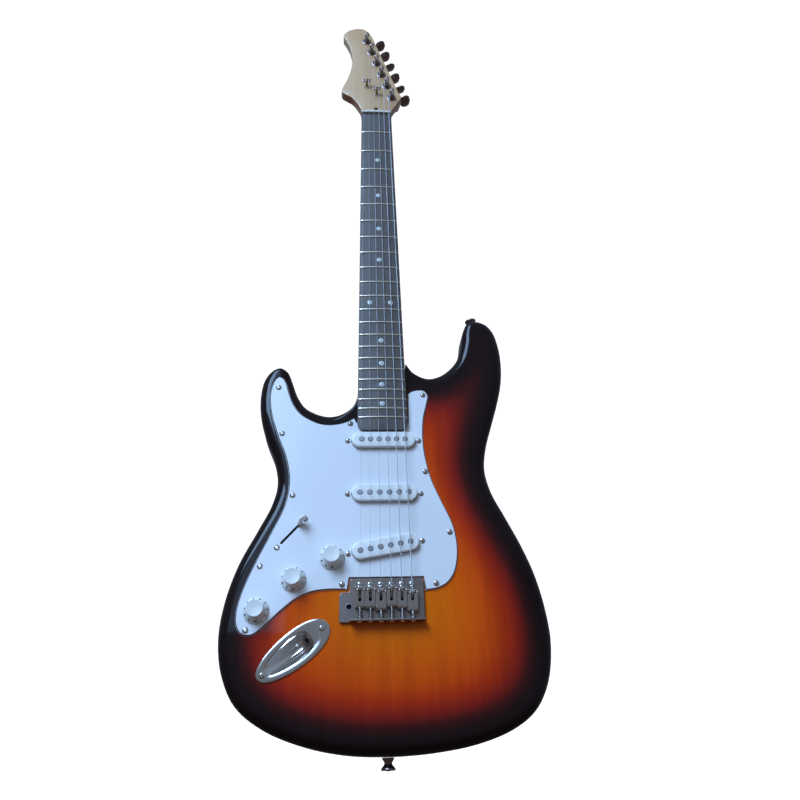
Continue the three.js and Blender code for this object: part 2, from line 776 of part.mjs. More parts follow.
function knob(spec) {
  const geometry = turned([
    [0, POT_FACE + 5.6],
    [SHAFT_R, POT_FACE + 5.6],
    [SHAFT_R, -6.5],
    [7, -6.5],
    [7.6, KNOB_SKIRT_BOTTOM],
    [KNOB_SKIRT_R, KNOB_SKIRT_BOTTOM],
    [KNOB_SKIRT_R, KNOB_SKIRT_BOTTOM - 0.9],
    [9.6, -4.6],
    [9, -7],
    [8.7, -12.6],
    [8.1, -13.4],
    [0, -13.4],
  ], 18);
  geometry.translate(spec.x, 0, -spec.down);
  return geometry;
}

function pot(spec) {
  const geometry = turned([
    [0, POT_FACE + 8.5],
    [8.3, POT_FACE + 8.5],
    [8.3, POT_FACE],
    [3.95, POT_FACE],
    [3.95, -1.4],
    [SHAFT_R + 0.3, -1.4],
    [SHAFT_R + 0.3, POT_FACE + 6],
    [0, POT_FACE + 6],
  ], 14);
  geometry.translate(spec.x, 0, -spec.down);
  return geometry;
}

function switchFrame() {
  const top = plate(roundedShape(48, 12, 1), GUARD_BOTTOM + 0.3, 1.4);
  const bodyBox = plate(roundedShape(38, 10, 0.5), GUARD_BOTTOM + 1.6, 25);
  const gap = plate(roundedShape(36.4, 4, 0.5), GUARD_BOTTOM - 3, 27.5);
  return placeSwitch(cut(join(top, bodyBox), gap));
}

function switchLever() {
  const reach = 26;
  const blade = plate(roundedShape(4.6, reach + 3, 2.2), -0.8, 1.6);
  blade.translate(0, 0, (reach + 3) / 2 - 2.7);
  const hub = turned([[0, -1.6], [3.2, -1.6], [3.2, 1.6], [0, 1.6]], 12);
  const tip = turned([
    [0, reach], [2.2, reach], [2.5, reach + 3], [3.1, reach + 9], [2.7, reach + 11.4],
    [1.4, reach + 12.6], [0, reach + 13],
  ], 12);
  tip.rotateX(Math.PI / 2);
  tip.scale(1.5, 0.8, 1);
  const lever = join(blade, hub, tip);
  lever.rotateX(Math.PI / 2);
  lever.rotateZ(THREE.MathUtils.degToRad(SWITCH.rest));
  lever.translate(0, SWITCH.pivotY, 0);
  return placeSwitch(lever);
}

// ---------------------------------------------------------------- output jack
const signedPower = (value, power) => Math.sign(value) * Math.abs(value) ** power;

// Outline of the jack plate, fuller at its upper end.
function jackEgg(share, grow) {
  const angle = 2 * Math.PI * share;
  const along = 0.5 * (JACK.length + grow) * Math.cos(angle);
  const taper = 1 + 0.12 * Math.cos(angle);
  const across = 0.5 * (JACK.width + grow) * taper * signedPower(Math.sin(angle), 0.9);
  return new THREE.Vector2(along, across);
}

// Outline of the dish in the jack plate, scaled towards its deepest point.
function dishEgg(share, size) {
  const angle = 2 * Math.PI * share;
  const along = lerp(DISH.deepest, DISH.centre + DISH.half * Math.cos(angle), size);
  const taper = 0.83 + 0.22 * Math.cos(angle);
  const across = DISH.halfWidth * taper * signedPower(Math.sin(angle), 0.5) * size;
  return new THREE.Vector2(along, across);
}

function jackPlate() {
  const steps = 22;
  const ring = (point, depth) => Array.from({ length: steps }, (_, k) => {
    const p = point(k / steps);
    return new THREE.Vector3(p.x, BODY_TOP + depth, p.y);
  });
  const sheet = 1.1;
  const dishDepths = [[1, -0.2], [0.93, 1.6], [0.72, 8], [0.5, 12.5], [0.25, 15]];
  const front = [
    ...dishDepths.slice().reverse().map(([size, depth]) => ring((s) => dishEgg(s, size), depth - 1.3)),
    ring((s) => jackEgg(s, -2.4), -1.5),
    ring((s) => jackEgg(s, 0), -0.9),
  ];
  const back = [
    ring((s) => jackEgg(s, 0), -0.2),
    ring((s) => dishEgg(s, 1.08), -0.2),
    ...dishDepths.slice(1).map(([size, depth]) => ring((s) => dishEgg(s, size * 1.03), depth + sheet - 0.2)),
  ];
  const shell = skin([...front, ...back], (p) => new THREE.Vector2(p.x, p.z));
  shell.rotateY(-Math.atan2(JACK_DIR.y, JACK_DIR.x));
  shell.translate(JACK.x, 0, -JACK.down);
  const hole = bar([alongJackAxis(-14), alongJackAxis(20)], JACK.bore, 12);
  return cut(shell, hole);
}

function outputJack() {
  const sleeve = bar([alongJackAxis(-1), alongJackAxis(26)], JACK.bore - 0.35, 12);
  const collar = bar([alongJackAxis(7), alongJackAxis(24)], 8, 12);
  const bore = bar([alongJackAxis(-3), alongJackAxis(23)], 3.3, 10);
  return cut(join(sleeve, collar), bore);
}

// ---------------------------------------------------------------- strap buttons, plates, trees
function strapButton(x, down, towards) {
  const geometry = turned([
    [0, FIT_GAP], [5.9, FIT_GAP], [5.9, 1.6], [3.7, 5.2], [3.7, 5.8], [6.9, 10.6], [6.9, 11.2], [6.3, 11.6],
    [0, 11.6],
  ], 14);
  geometry.rotateZ(Math.atan2(-towards.x, towards.y));
  geometry.rotateX(Math.PI / 2);
  geometry.translate(x, BODY_MIDDLE, -down);
  return geometry;
}

function neckPlate() {
  return roundedBlock({
    x: 0, down: 424, width: 51, height: 64, radius: 4, front: BODY_BACK + FIT_GAP, back: BODY_BACK + 1.9,
  });
}

function backCover() {
  const cover = spanBlock({
    left: -45.5, right: 45.5, top: 540, bottom: 692, radius: 8,
    front: BODY_BACK + FIT_GAP, back: BODY_BACK + 2.5,
  });
  const window = spanBlock({
    left: -31, right: 31, top: 659, bottom: 675, radius: 6, front: BODY_BACK - 2, back: BODY_BACK + 5,
  });
  return cut(cover, window);
}

function springClaw() {
  const wall = spanBlock({
    left: -25, right: 25, top: 561, bottom: 562.6, radius: 0.5, front: 33, back: 45,
  });
  const lip = spanBlock({
    left: -25, right: 25, top: 561.2, bottom: 567, radius: 0.5, front: 33, back: 34.4,
  });
  return join(wall, lip);
}

function stringTree(x, down, seat, spread) {
  const wing = new THREE.Shape();
  const half = spread / 2 + 1.2;
  const foot = HEAD_FACE - GLUE_GAP - seat;
  wing.moveTo(-half, 0.2);
  wing.quadraticCurveTo(-half + 1, 2.2, -1.5, 1.2);
  wing.lineTo(-1.5, foot);
  wing.lineTo(1.5, foot);
  wing.lineTo(1.5, 1.2);
  wing.quadraticCurveTo(half - 1, 2.2, half, 0.2);
  wing.lineTo(half - 0.6, -0.6);
  wing.quadraticCurveTo(half / 2, 0.8, 0, 0);
  wing.quadraticCurveTo(-half / 2, 0.8, -half + 0.6, -0.6);
  const geometry = new THREE.ExtrudeGeometry(wing, { depth: 6, bevelEnabled: false, curveSegments: 3 });
  geometry.translate(x, seat, -down - 3);
  return geometry;
}

// ---------------------------------------------------------------- tuners
const POST_LINE = new THREE.Vector2(
  POST_FIRST.x - POST_LAST.x,
  POST_LAST.down - POST_FIRST.down,
).normalize();
const KEY_TURN = Math.atan2(-POST_LINE.x, POST_LINE.y);
const KEY_REST_TURNS = [2, 4, 16, 1, 16, -6];

// Moves a piece drawn with the key shaft along +X and the post on Y = 0 to its place on the headstock.
function placeTuner(geometry, i) {
  const place = postPlace(i);
  geometry.rotateY(-KEY_TURN);
  geometry.translate(place.x, 0, -place.down);
  return geometry;
}

function tunerHousing(i) {
  const back = HEAD_BACK + 0.2;
  const shell = spanBlock({
    left: -8, right: 12, top: -KEY_OFFSET - 4.9, bottom: 8, radius: 3, front: back, back: back + 9.4,
  });
  const cavity = spanBlock({
    left: -6.2, right: 9, top: -KEY_OFFSET - 3.1, bottom: 6.2, radius: 1.5, front: back - 1, back: back + 8,
  });
  const shaftHole = new THREE.CylinderGeometry(2.3, 2.3, 12, 8);
  shaftHole.rotateZ(Math.PI / 2);
  shaftHole.translate(11, KEY_AXIS_Y, KEY_OFFSET);
  return placeTuner(cut(shell, cavity, shaftHole), i);
}

function tunerKey(i) {
  const button = turned([
    [0, KEY_REACH - 7.2], [3.6, KEY_REACH - 7.2], [7.4, KEY_REACH - 5.6], [9.3, KEY_REACH - 2.4],
    [9.5, KEY_REACH + 1], [8.6, KEY_REACH + 4.6], [6.4, KEY_REACH + 6.4], [0, KEY_REACH + 7],
  ], 12);
  button.scale(1, 1, 0.34);
  const shaft = turned([
    [0, -5.4], [2, -5.4], [2, KEY_REACH - 10], [3.1, KEY_REACH - 9.4], [3.1, KEY_REACH - 6],
    [0, KEY_REACH - 6],
  ], 8);
  const key = join(shaft, button);
  key.rotateZ(-Math.PI / 2);
  key.rotateX(THREE.MathUtils.degToRad(KEY_REST_TURNS[i]));
  key.translate(0, KEY_AXIS_Y, KEY_OFFSET);
  return placeTuner(key, i);
}

function tunerPost(i) {
  const post = turned([
    [0, POST_TOP], [2.6, POST_TOP], [3.1, POST_TOP + 0.6], [3.1, POST_TOP + 4.6], [POST_WAIST, POST_TOP + 6],
    [POST_WAIST, HEAD_FACE - 4.4], [3.1, HEAD_FACE - 2.6], [3.1, KEY_AXIS_Y - 2.2], [4.85, KEY_AXIS_Y - 2.2],
    [4.85, KEY_AXIS_Y + 2.2], [0, KEY_AXIS_Y + 2.2],
  ], 10);
  const slot = new THREE.BoxGeometry(1.5, 7, 9);
  slot.translate(0, POST_TOP + 1, 0);
  return placeTuner(cut(post, slot), i);
}

// ---------------------------------------------------------------- tremolo bridge
function bridgePlate() {
  const top = PLATE_TOP;
  const main = spanBlock({
    left: -36.4, right: 38.6, top: 643.5, bottom: 686.4, radius: 1.2, front: top, back: top + PLATE_THICKNESS,
  });
  const armTab = spanBlock({
    left: -46.6, right: -30, top: 657.1, bottom: 686.4, radius: 2, front: top, back: top + PLATE_THICKNESS,
  });
  const rearWall = spanBlock({
    left: -36.4, right: 38.6, top: 684.6, bottom: 686.4, radius: 0.5, front: top - 8.6, back: top + 1,
  });
  const tools = [cylinder(ARM_HOLE.r + 0.4, top - 3, top + 5, ARM_HOLE.x, ARM_HOLE.down, 12)];
  for (let i = 0; i < STRING_COUNT; i += 1) {
    const x = stringAtBridge(i);
    tools.push(cylinder(1.9, top - 3, top + 5, x, PIVOT.down, 8));
    tools.push(cylinder(2, top - 3, top + 5, x, BALL_HOLE_DOWN, 8));
    const screwHole = new THREE.CylinderGeometry(1.7, 1.7, 6, 6);
    screwHole.rotateX(Math.PI / 2);
    screwHole.translate(x, top - 4.2, -685.5);
    tools.push(screwHole);
  }
  return cut(join(main, armTab, rearWall), ...tools);
}

function tremoloBlock() {
  const blank = spanBlock({
    left: BLOCK.left,
    right: BLOCK.right,
    top: BLOCK.front,
    bottom: BLOCK.back,
    radius: 0.6,
    front: PLATE_TOP + PLATE_THICKNESS + 0.05,
    back: BLOCK.bottom,
  });
  const tools = [cylinder(ARM_HOLE.r, 0, 26, ARM_HOLE.x, ARM_HOLE.down, 12)];
  for (let i = 0; i < STRING_COUNT; i += 1) {
    tools.push(cylinder(1.7, 0, BLOCK.bottom + 2, stringAtBridge(i), BALL_HOLE_DOWN, 8));
  }
  return cut(blank, ...tools);
}

const saddleLift = (i) => crownDrop(stringAtBridge(i));
const saddlePeakY = (i) => -9.2 + saddleLift(i);
const saddlePeakDown = (i) => SADDLE_PEAK_DOWN + INTONATION[i];

// Bent strip seen from the side in (-z, y), extruded across by its width.
function saddle(i) {
  const peak = saddlePeakY(i);
  const front = saddlePeakDown(i) - 1.9;
  const back = front + SADDLE_LENGTH;
  const outline = new THREE.Shape();
  outline.moveTo(front, peak + 6);
  outline.lineTo(front, peak + 1.4);
  outline.quadraticCurveTo(front + 0.2, peak, front + 1.9, peak);
  outline.lineTo(front + 4, peak + 1);
  outline.lineTo(back - 2, peak + 2.6);
  outline.quadraticCurveTo(back, peak + 2.8, back, peak + 4.8);
  outline.lineTo(back, PLATE_TOP - 1.2);
  outline.lineTo(back - 1.8, PLATE_TOP - 1.2);
  outline.lineTo(back - 1.8, peak + 4.8);
  outline.lineTo(front + 3.4, peak + 3);
  outline.lineTo(front + 1.8, peak + 6);
  const strip = new THREE.ExtrudeGeometry(outline, { depth: 10.2, bevelEnabled: false, curveSegments: 3 });
  strip.translate(0, 0, -5.1);
  strip.rotateY(Math.PI / 2);
  strip.translate(stringAtBridge(i), 0, 0);
  const slot = spanBlock({
    left: stringAtBridge(i) - 1.5,
    right: stringAtBridge(i) + 1.5,
    top: front + 3.6,
    bottom: BALL_HOLE_DOWN + 3,
    radius: 1.3,
    front: peak - 3,
    back: peak + 12,
  });
  const screwHole = new THREE.CylinderGeometry(1.5, 1.5, 6, 6);
  screwHole.rotateX(Math.PI / 2);
  screwHole.translate(stringAtBridge(i), PLATE_TOP - 4.2, -(back - 1));
  return cut(strip, slot, screwHole);
}

// ---------------------------------------------------------------- strings and springs
const TREES = [
  { strings: [0, 1], down: -63.5 },
  { strings: [2, 3], down: -47.8 },
];
const TREE_STRING_Y = -4.4;

function postContact(i) {
  const place = postPlace(i);
  return { x: place.x - POST_WAIST - STRING_RADII[i] - 0.2, down: place.down };
}

function stringAcross(i, down) {
  const contact = postContact(i);
  return lerp(stringAtNut(i), contact.x, down / contact.down);
}

function stringPath(i) {
  const radius = STRING_RADII[i];
  const bridgeX = stringAtBridge(i);
  const overPeak = saddlePeakY(i) - radius - 0.15;
  const nutY = nutStringY(i);
  const contact = postContact(i);
  const tree = TREES.find((entry) => entry.strings.includes(i));
  const waistY = HEAD_FACE - 6.2;
  const points = [
    [bridgeX, 37, BALL_HOLE_DOWN],
    [bridgeX, -1, BALL_HOLE_DOWN],
    [bridgeX, saddlePeakY(i) + 1.6, BALL_HOLE_DOWN - 1.8],
    [bridgeX, overPeak + 0.25, saddlePeakDown(i) + 1.9],
    [bridgeX, overPeak, saddlePeakDown(i) - 0.2],
    [stringAtNut(i), nutY, 0],
    [stringAcross(i, -NUT_LENGTH - 0.1), nutY + 0.1, -NUT_LENGTH - 0.1],
  ];
  if (tree) points.push([stringAcross(i, tree.down), TREE_STRING_Y, tree.down]);
  points.push([contact.x, waistY, contact.down + 2]);
  points.push([contact.x, waistY, contact.down - 0.5]);
  return points.map(([x, y, down]) => new THREE.Vector3(x, y, -down));
}

function tremoloSpring(x) {
  const y = 39.4;
  const coil = bar([new THREE.Vector3(x, y, -650), new THREE.Vector3(x, y, -573)], 4.2, 10);
  const wire = bar([
    new THREE.Vector3(x, y, -(BLOCK.front - 0.4)),
    new THREE.Vector3(x, y, -563.1),
  ], 0.8, 8);
  return join(coil, wire);
}

// ---------------------------------------------------------------- assembly
node('body', body(), 'lacquer');
node('neck', neck(), 'maple');
node('fretboard', fretboard(), 'fretwood');
node('nut', nut(), 'bone');
node('neck_plate', neckPlate(), 'chrome');
node('pickguard', pickguard(), 'plastic');
node('back_cover', backCover(), 'plastic');
PICKUPS.forEach((spec) => node(spec.name, pickup(spec), 'plastic'));
KNOBS.forEach((spec) => {
  node(`knob_${spec.name}`, knob(spec), 'plastic');
  node(`pot_${spec.name}`, pot(spec), 'steel');
});
node('switch_frame', switchFrame(), 'steel');
node('switch_lever', switchLever(), 'plastic');
node('jack_plate', jackPlate(), 'chrome');
node('output_jack', outputJack(), 'steel');
node('strap_button_tail', strapButton(0.3, 806.5, { x: 0, y: -1 }), 'darkChrome');
node('strap_button_horn', strapButton(115.2, 330.9, { x: -0.17, y: 0.985 }), 'darkChrome');
node('spring_claw', springClaw(), 'steel');
TREES.forEach((tree, i) => {
  const [first, second] = tree.strings.map((s) => stringAcross(s, tree.down));
  const radius = STRING_RADII[tree.strings[1]];
  const seat = TREE_STRING_Y - radius - 1.6;
  node(`string_tree_${i + 1}`, stringTree((first + second) / 2, tree.down, seat, second - first), 'chrome');
});
for (let i = 0; i < STRING_COUNT; i += 1) {
  node(`tuner_housing_${i + 1}`, tunerHousing(i), 'chrome');
  node(`tuner_key_${i + 1}`, tunerKey(i), 'darkChrome');
  node(`tuner_post_${i + 1}`, tunerPost(i), 'chrome');
}
node('bridge_plate', bridgePlate(), 'chrome');
node('tremolo_block', tremoloBlock(), 'steel');
for (let i = 0; i < STRING_COUNT; i += 1) {
  node(`saddle_${i + 1}`, saddle(i), 'chrome');
  node(`string_${i + 1}`, bar(stringPath(i), STRING_RADII[i]), 'steel');
}
[-18, 0, 18].forEach((x, i) => node(`spring_${i + 1}`, tremoloSpring(x), 'spring'));

export default group;
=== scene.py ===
"""Looks of a left-handed solid-body electric guitar, built around its CAD frame.

Outlines and sizes are in millimetres: X is to the viewer's right, Y goes into the body, Z runs up the neck.
"down" is the distance below the nut, so z = -down. Everything is scaled to metres when its mesh is made.
"""

import math

import bmesh
import bpy
import numpy as np
from mathutils import Matrix, Vector
from mathutils.geometry import delaunay_2d_cdt, tessellate_polygon


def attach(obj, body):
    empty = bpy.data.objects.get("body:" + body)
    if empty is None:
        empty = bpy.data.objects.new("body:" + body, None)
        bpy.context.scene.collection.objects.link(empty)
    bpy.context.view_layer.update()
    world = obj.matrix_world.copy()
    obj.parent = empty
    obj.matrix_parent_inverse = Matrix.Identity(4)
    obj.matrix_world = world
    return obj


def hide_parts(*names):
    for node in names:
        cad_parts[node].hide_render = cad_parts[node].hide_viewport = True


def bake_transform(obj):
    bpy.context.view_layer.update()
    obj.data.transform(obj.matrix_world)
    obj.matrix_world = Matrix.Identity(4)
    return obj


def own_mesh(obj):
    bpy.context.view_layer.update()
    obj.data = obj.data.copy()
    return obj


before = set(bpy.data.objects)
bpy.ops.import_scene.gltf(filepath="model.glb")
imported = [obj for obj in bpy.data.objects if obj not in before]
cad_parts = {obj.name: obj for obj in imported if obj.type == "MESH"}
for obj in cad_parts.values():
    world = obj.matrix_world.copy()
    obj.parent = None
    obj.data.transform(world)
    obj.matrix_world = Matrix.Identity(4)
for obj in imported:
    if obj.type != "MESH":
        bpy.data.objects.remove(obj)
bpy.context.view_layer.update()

# ------------------------------------------------------------------ driving dimensions
MM = 0.001
SCALE_LENGTH = 648
FRET_COUNT = 22
FRET_RATIO = 2 ** (1 / 12)
FULL = 2 * math.pi
TINY = 0.001

BODY_TOP = 4.2
BODY_BACK = 48.2
BODY_MIDDLE = (BODY_TOP + BODY_BACK) / 2
BODY_ROUND = 11
BODY_ROUND_AT_NECK = 2
FOREARM = dict(x=186, down=704, rx=76, rd=132, depth=14)
BELLY = dict(x=130, down=512, rx=60, rd=112, depth=21)
POCKET_HALF = 28.4
POCKET_START = 378
POCKET_FLOOR = 19.3
CONTROL_FLOOR = 38.2
PICKUP_FLOOR = 21.2
PICKUP_ROUTE = (86, 30)
# Routes as (left, right, top, bottom); CLEAR is how far a cutter stands out in front of the body.
BRIDGE_ROUTE = (-42.3, 32.3, 657.3, 682.5)
SPRING_ROUTE = (-29, 29, 548, 668)
SPRING_ROUTE_Y = 30
CLEAR = 12
HEEL_END = 468

NUT_WIDTH = 41
NUT_LENGTH = 3.2
WIDTH_AT_LAST_FRET = 55.4
BOARD_TOP = -5.5
BOARD_RADIUS = 241
BOARD_END = 481.5
NECK_DEPTH = 15.5
HEEL_DEPTH = 19
HEAD_FACE = 2.2
HEAD_BACK = 15.7

GUARD_BOTTOM = 4.0
GUARD_TOP = 1.7

STRINGS = range(6)
SPREAD_NUT = 34.5
SPREAD_BRIDGE = 52.5
STRING_RADII = (0.13, 0.165, 0.215, 0.33, 0.455, 0.585)
NUT_SLOT_FLOOR = -7.0
NUT_TOP = -7.9

POST_FIRST = (-11.9, -154.4)
POST_LAST = (22.2, -39.6)
POST_TOP = HEAD_FACE - 14
POST_WAIST = 2.4
WAIST_HEIGHT = 5.2
KEY_AXIS_Y = 20.2
KEY_OFFSET = 7.2
KEY_REACH = 24
KEY_REST_TURNS = (2, 4, 16, 1, 16, -6)

PIVOT_DOWN = 649.5
PIVOT_Y = 2.2
PLATE_TOP = 0.7
PLATE_BACK = 3.0
PLATE_LEFT = -36.4
PLATE_RIGHT = 38.6
PLATE_FRONT_DOWN = 643.5
PLATE_REAR_DOWN = 686.4
NOTCH_GAP = 0.5
ARM_HOLE = (-36.9, 671.5)
ARM_BORE_R = 2.8
BALL_HOLE_DOWN = 664.5
PEAK_DOWN = 657.6
INTONATION = (-3, -2.5, -0.4, -3.4, -1.9, 0.9)
SADDLE_LENGTH = 21
TREMOLO_TILT = 8

PICKUPS = (("pickup_neck", 492, 0), ("pickup_middle", 553.3, 0), ("pickup_bridge", 611.3, -9.6))
PICKUP_X = 0.7
POLE_SPREAD = dict(pickup_neck=47.5, pickup_middle=52, pickup_bridge=52.5)
COVER_TOP = -3.8

KNOBS = (("volume", -54.3, 621.1), ("tone_1", -93, 642.8), ("tone_2", -128.2, 673.4))
SWITCH = dict(x=-96.7, down=595.2, slot=31, reach=26, pivot_y=21.7, rest=30)
SWITCH["heading"] = math.atan2(0.735, 0.679)
JACK = dict(x=-90.8, down=711.8, length=84, width=34, slant=math.radians(30), hole=17.3)
JACK["heading"] = math.atan2(0.607, 0.795)
JACK_WALL_Y = BODY_TOP + 6.6
DISH = dict(centre=-5.5, half=26.5, half_width=12.9, deepest=8, room=1.12, recess=24)

TREES = (((0, 1), -63.5), ((2, 3), -47.8))
TREE_STRING_Y = -4.4

# ------------------------------------------------------------------ outlines as (x, down)
BODY_OUTLINE = (
    (0, 387), (18, 387), (27, 391), (37, 404), (52, 410), (67.5, 406), (81, 396), (90.5, 383.5),
    (96, 366), (99.5, 347.5), (106, 334.2), (118, 330.7), (128.5, 334), (137, 344.8), (142, 364),
    (143.5, 388), (141, 415), (134, 442.5), (125, 470), (116.5, 497.5), (113, 523), (118, 548.5),
    (131, 577), (145.5, 608.5), (158.5, 640.5), (167, 676), (169, 707), (161.5, 743), (145, 769.5),
    (120, 786.5), (86, 798), (45, 804.5), (0, 806.5), (-42, 804), (-83, 795), (-118.5, 780.5),
    (-145.5, 759.5), (-160, 730.5), (-165, 698), (-161.5, 664), (-150, 625.5), (-132, 589),
    (-119, 561.5), (-114, 538), (-118.5, 512), (-129.5, 483.5), (-136.5, 455), (-137.5, 430),
    (-133.5, 410), (-125.5, 400.5), (-116, 397.5), (-107.5, 402.5), (-102, 414.5), (-96, 431.5),
    (-87, 446), (-73.5, 454.5), (-57, 458.5), (-42.5, 455.5), (-32, 447), (-28, 434),
    (-26.5, 412), (-24, 395), (-14, 387),
)
HEAD_LEFT = ((-20.5, -7), (-21, -13), (-25, -23), (-33, -36), (-41, -42))
HEAD_UPPER = (
    (-47, -46.5), (-48.6, -52), (-45.5, -62), (-38.6, -80.7), (-34.3, -102), (-33.2, -118),
    (-36.4, -140), (-42.9, -157), (-46.3, -165.5), (-43.5, -173), (-35, -180), (-20.5, -183.3),
    (-10.5, -178), (-4.5, -168), (0.7, -152),
)
HEAD_LOWER = (
    (32.9, -50), (36, -43), (35.2, -36.5), (30, -27), (24.8, -18), (21.6, -11.5), (20.5, -7),
)
GUARD_LEFT = (
    (-31, 463), (-40, 468), (-53, 471.3), (-66.5, 471), (-79.5, 466), (-91, 458), (-99.3, 446),
    (-104.5, 432), (-108, 420), (-112, 413.5), (-116.6, 411.6), (-121.5, 416), (-125.2, 427),
    (-126.3, 440), (-123.5, 460), (-115, 487), (-105.5, 512), (-101.2, 538), (-105, 565),
    (-117.5, 594), (-132, 625), (-144, 655), (-148.5, 677), (-146, 691), (-139, 697),
    (-130, 696.5), (-121, 690), (-103, 673.5), (-88, 662), (-73, 656), (-57, 654.3), (-38, 654.3),
)
GUARD_RIGHT = (
    (40.2, 656), (52, 654.6), (63.5, 649), (71.5, 638), (75.5, 622), (75.8, 604), (72, 585),
    (62, 561), (53, 538), (47.5, 514), (45.4, 490), (47, 465), (52, 444), (53.2, 436),
    (49.5, 429.6), (42.5, 428), (34, 430), (29.2, 433.5),
)
CONTROL_OUTLINE = (
    (-38, 588), (-36, 624), (-58, 642), (-89, 658), (-117.5, 683), (-132, 688), (-141, 680),
    (-138, 660), (-126, 628), (-112, 590), (-92, 560), (-66, 560),
)
GUARD_SCREWS = (
    (-116.6, 426), (-110.6, 482.9), (-96.7, 554.2), (-126.9, 629.2), (-137.6, 691.8), (-43.9, 648.9),
    (-35.7, 471.1), (46.9, 435.3), (45.6, 528.4), (68.4, 595.8), (51.5, 648.9),
)


# ------------------------------------------------------------------ curves and shapes
def lerp(a, b, share):
    return a + (b - a) * share


def turn2(point, angle):
    """Turns an (x, z) point about the origin."""
    c, s = math.cos(angle), math.sin(angle)
    return (point[0] * c - point[1] * s, point[0] * s + point[1] * c)


def spline(points, loop, per_span):
    """Centripetal Catmull-Rom curve through (x, down) points, returned as (x, z)."""
    knots = [np.array((x, -down), float) for x, down in points]
    count = len(knots)
    if loop:
        padded = [knots[-1], *knots, knots[0], knots[1]]
    else:
        padded = [2 * knots[0] - knots[1], *knots, 2 * knots[-1] - knots[-2]]
    curve = []
    for i in range(count if loop else count - 1):
        p0, p1, p2, p3 = padded[i:i + 4]
        d0, d1, d2 = (math.sqrt(np.linalg.norm(b - a)) for a, b in ((p0, p1), (p1, p2), (p2, p3)))
        t1 = ((p1 - p0) / d0 - (p2 - p0) / (d0 + d1) + (p2 - p1) / d1) * d1
        t2 = ((p2 - p1) / d1 - (p3 - p1) / (d1 + d2) + (p3 - p2) / d2) * d1
        for k in range(per_span):
            t = k / per_span
            a = (2 * t ** 3 - 3 * t ** 2 + 1) * p1 + (t ** 3 - 2 * t ** 2 + t) * t1
            b = (3 * t ** 2 - 2 * t ** 3) * p2 + (t ** 3 - t ** 2) * t2
            curve.append(tuple(a + b))
    if not loop:
        curve.append(tuple(knots[-1]))
    return curve


def area(loop):
    nexts = loop[1:] + loop[:1]
    return 0.5 * sum(a[0] * b[1] - b[0] * a[1] for a, b in zip(loop, nexts))


def offset(loop, distance):
    """Moves a closed (x, z) loop inwards by a distance, or by one distance for each point."""
    points = np.array(loop, float)
    along = np.roll(points, -1, axis=0) - np.roll(points, 1, axis=0)
    along /= np.linalg.norm(along, axis=1)[:, None]
    side = math.copysign(1, area(list(loop)))
    inward = np.stack((-along[:, 1], along[:, 0]), axis=1) * side
    return [tuple(p) for p in points + inward * np.reshape(distance, (-1, 1))]


def rounded_rect(width, height, radius, steps=6, centre=(0, 0), turn=0):
    corners = ((1, -1, -0.25), (1, 1, 0), (-1, 1, 0.25), (-1, -1, 0.5))
    loop = []
    for sx, sz, start in corners:
        cx, cz = sx * (width / 2 - radius), sz * (height / 2 - radius)
        for k in range(steps + 1):
            angle = FULL * (start + 0.25 * k / steps)
            loop.append((cx + radius * math.cos(angle), cz + radius * math.sin(angle)))
    return [(x + centre[0], z + centre[1]) for x, z in (turn2(p, turn) for p in loop)]


def circle(radius, steps, centre=(0, 0)):
    angles = (FULL * k / steps for k in range(steps))
    return [(centre[0] + radius * math.cos(a), centre[1] + radius * math.sin(a)) for a in angles]


def merged(*shapes):
    verts, faces = [], []
    for more_verts, more_faces in shapes:
        base = len(verts)
        verts.extend(more_verts)
        faces.extend(tuple(i + base for i in face) for face in more_faces)
    return verts, faces


def moved(shape, matrix):
    return [matrix @ Vector(v) for v in shape[0]], shape[1]


def shifted(shape, x, y, z):
    return moved(shape, Matrix.Translation((x, y, z)))


def turned(shape, degrees, axis):
    return moved(shape, Matrix.Rotation(math.radians(degrees), 4, axis))


def placed(shape, x, down, heading):
    """Turns a piece about Y so that its +X points along a heading, and moves it to a place on the face."""
    return moved(shape, Matrix.Translation((x, 0, -down)) @ Matrix.Rotation(-heading, 4, "Y"))


def strip(a, b, count):
    """Quads between two rings that start at vertices a and b."""
    return [(a + k, a + (k + 1) % count, b + (k + 1) % count, b + k) for k in range(count)]


def loft(rings, caps=True):
    """Skin over closed rings of equal length, capped by fans at both ends."""
    count = len(rings[0])
    verts = [Vector(p) for ring in rings for p in ring]
    faces = []
    for i in range(len(rings) - 1):
        faces.extend(strip(i * count, (i + 1) * count, count))
    if caps:
        faces.append(tuple(range(count)))
        last = (len(rings) - 1) * count
        faces.append(tuple(range(last, last + count)))
    return verts, faces


def lathe(profile, steps=32):
    """Turned piece about Y from a profile of (radius, y)."""
    rings = []
    for radius, y in profile:
        rings.append([(x, y, z) for x, z in circle(max(radius, TINY), steps)])
    return loft(rings)


def cylinder(radius, front, back, steps=24):
    return lathe(((0, front), (radius, front), (radius, back), (0, back)), steps)


def tube(points, radius, sides=12):
    """Round tube along points."""
    path = [Vector(p) for p in points]
    tangent = (path[1] - path[0]).normalized()
    across = tangent.orthogonal().normalized()
    rings = []
    for i, point in enumerate(path):
        ahead = path[min(i + 1, len(path) - 1)] - path[max(i - 1, 0)]
        ahead.normalize()
        across = (tangent.rotation_difference(ahead) @ across).normalized()
        tangent = ahead
        other = tangent.cross(across)
        ring = [
            point + radius * (math.cos(FULL * k / sides) * across + math.sin(FULL * k / sides) * other)
            for k in range(sides)
        ]
        rings.append(ring)
    return loft(rings)


def flat_cap(loop, start):
    """Triangles over a ring of flat points whose vertices begin at start."""
    flat = [[Vector((a, b, 0)) for a, b in loop]]
    return [tuple(start + i for i in triangle) for triangle in tessellate_polygon(flat)]


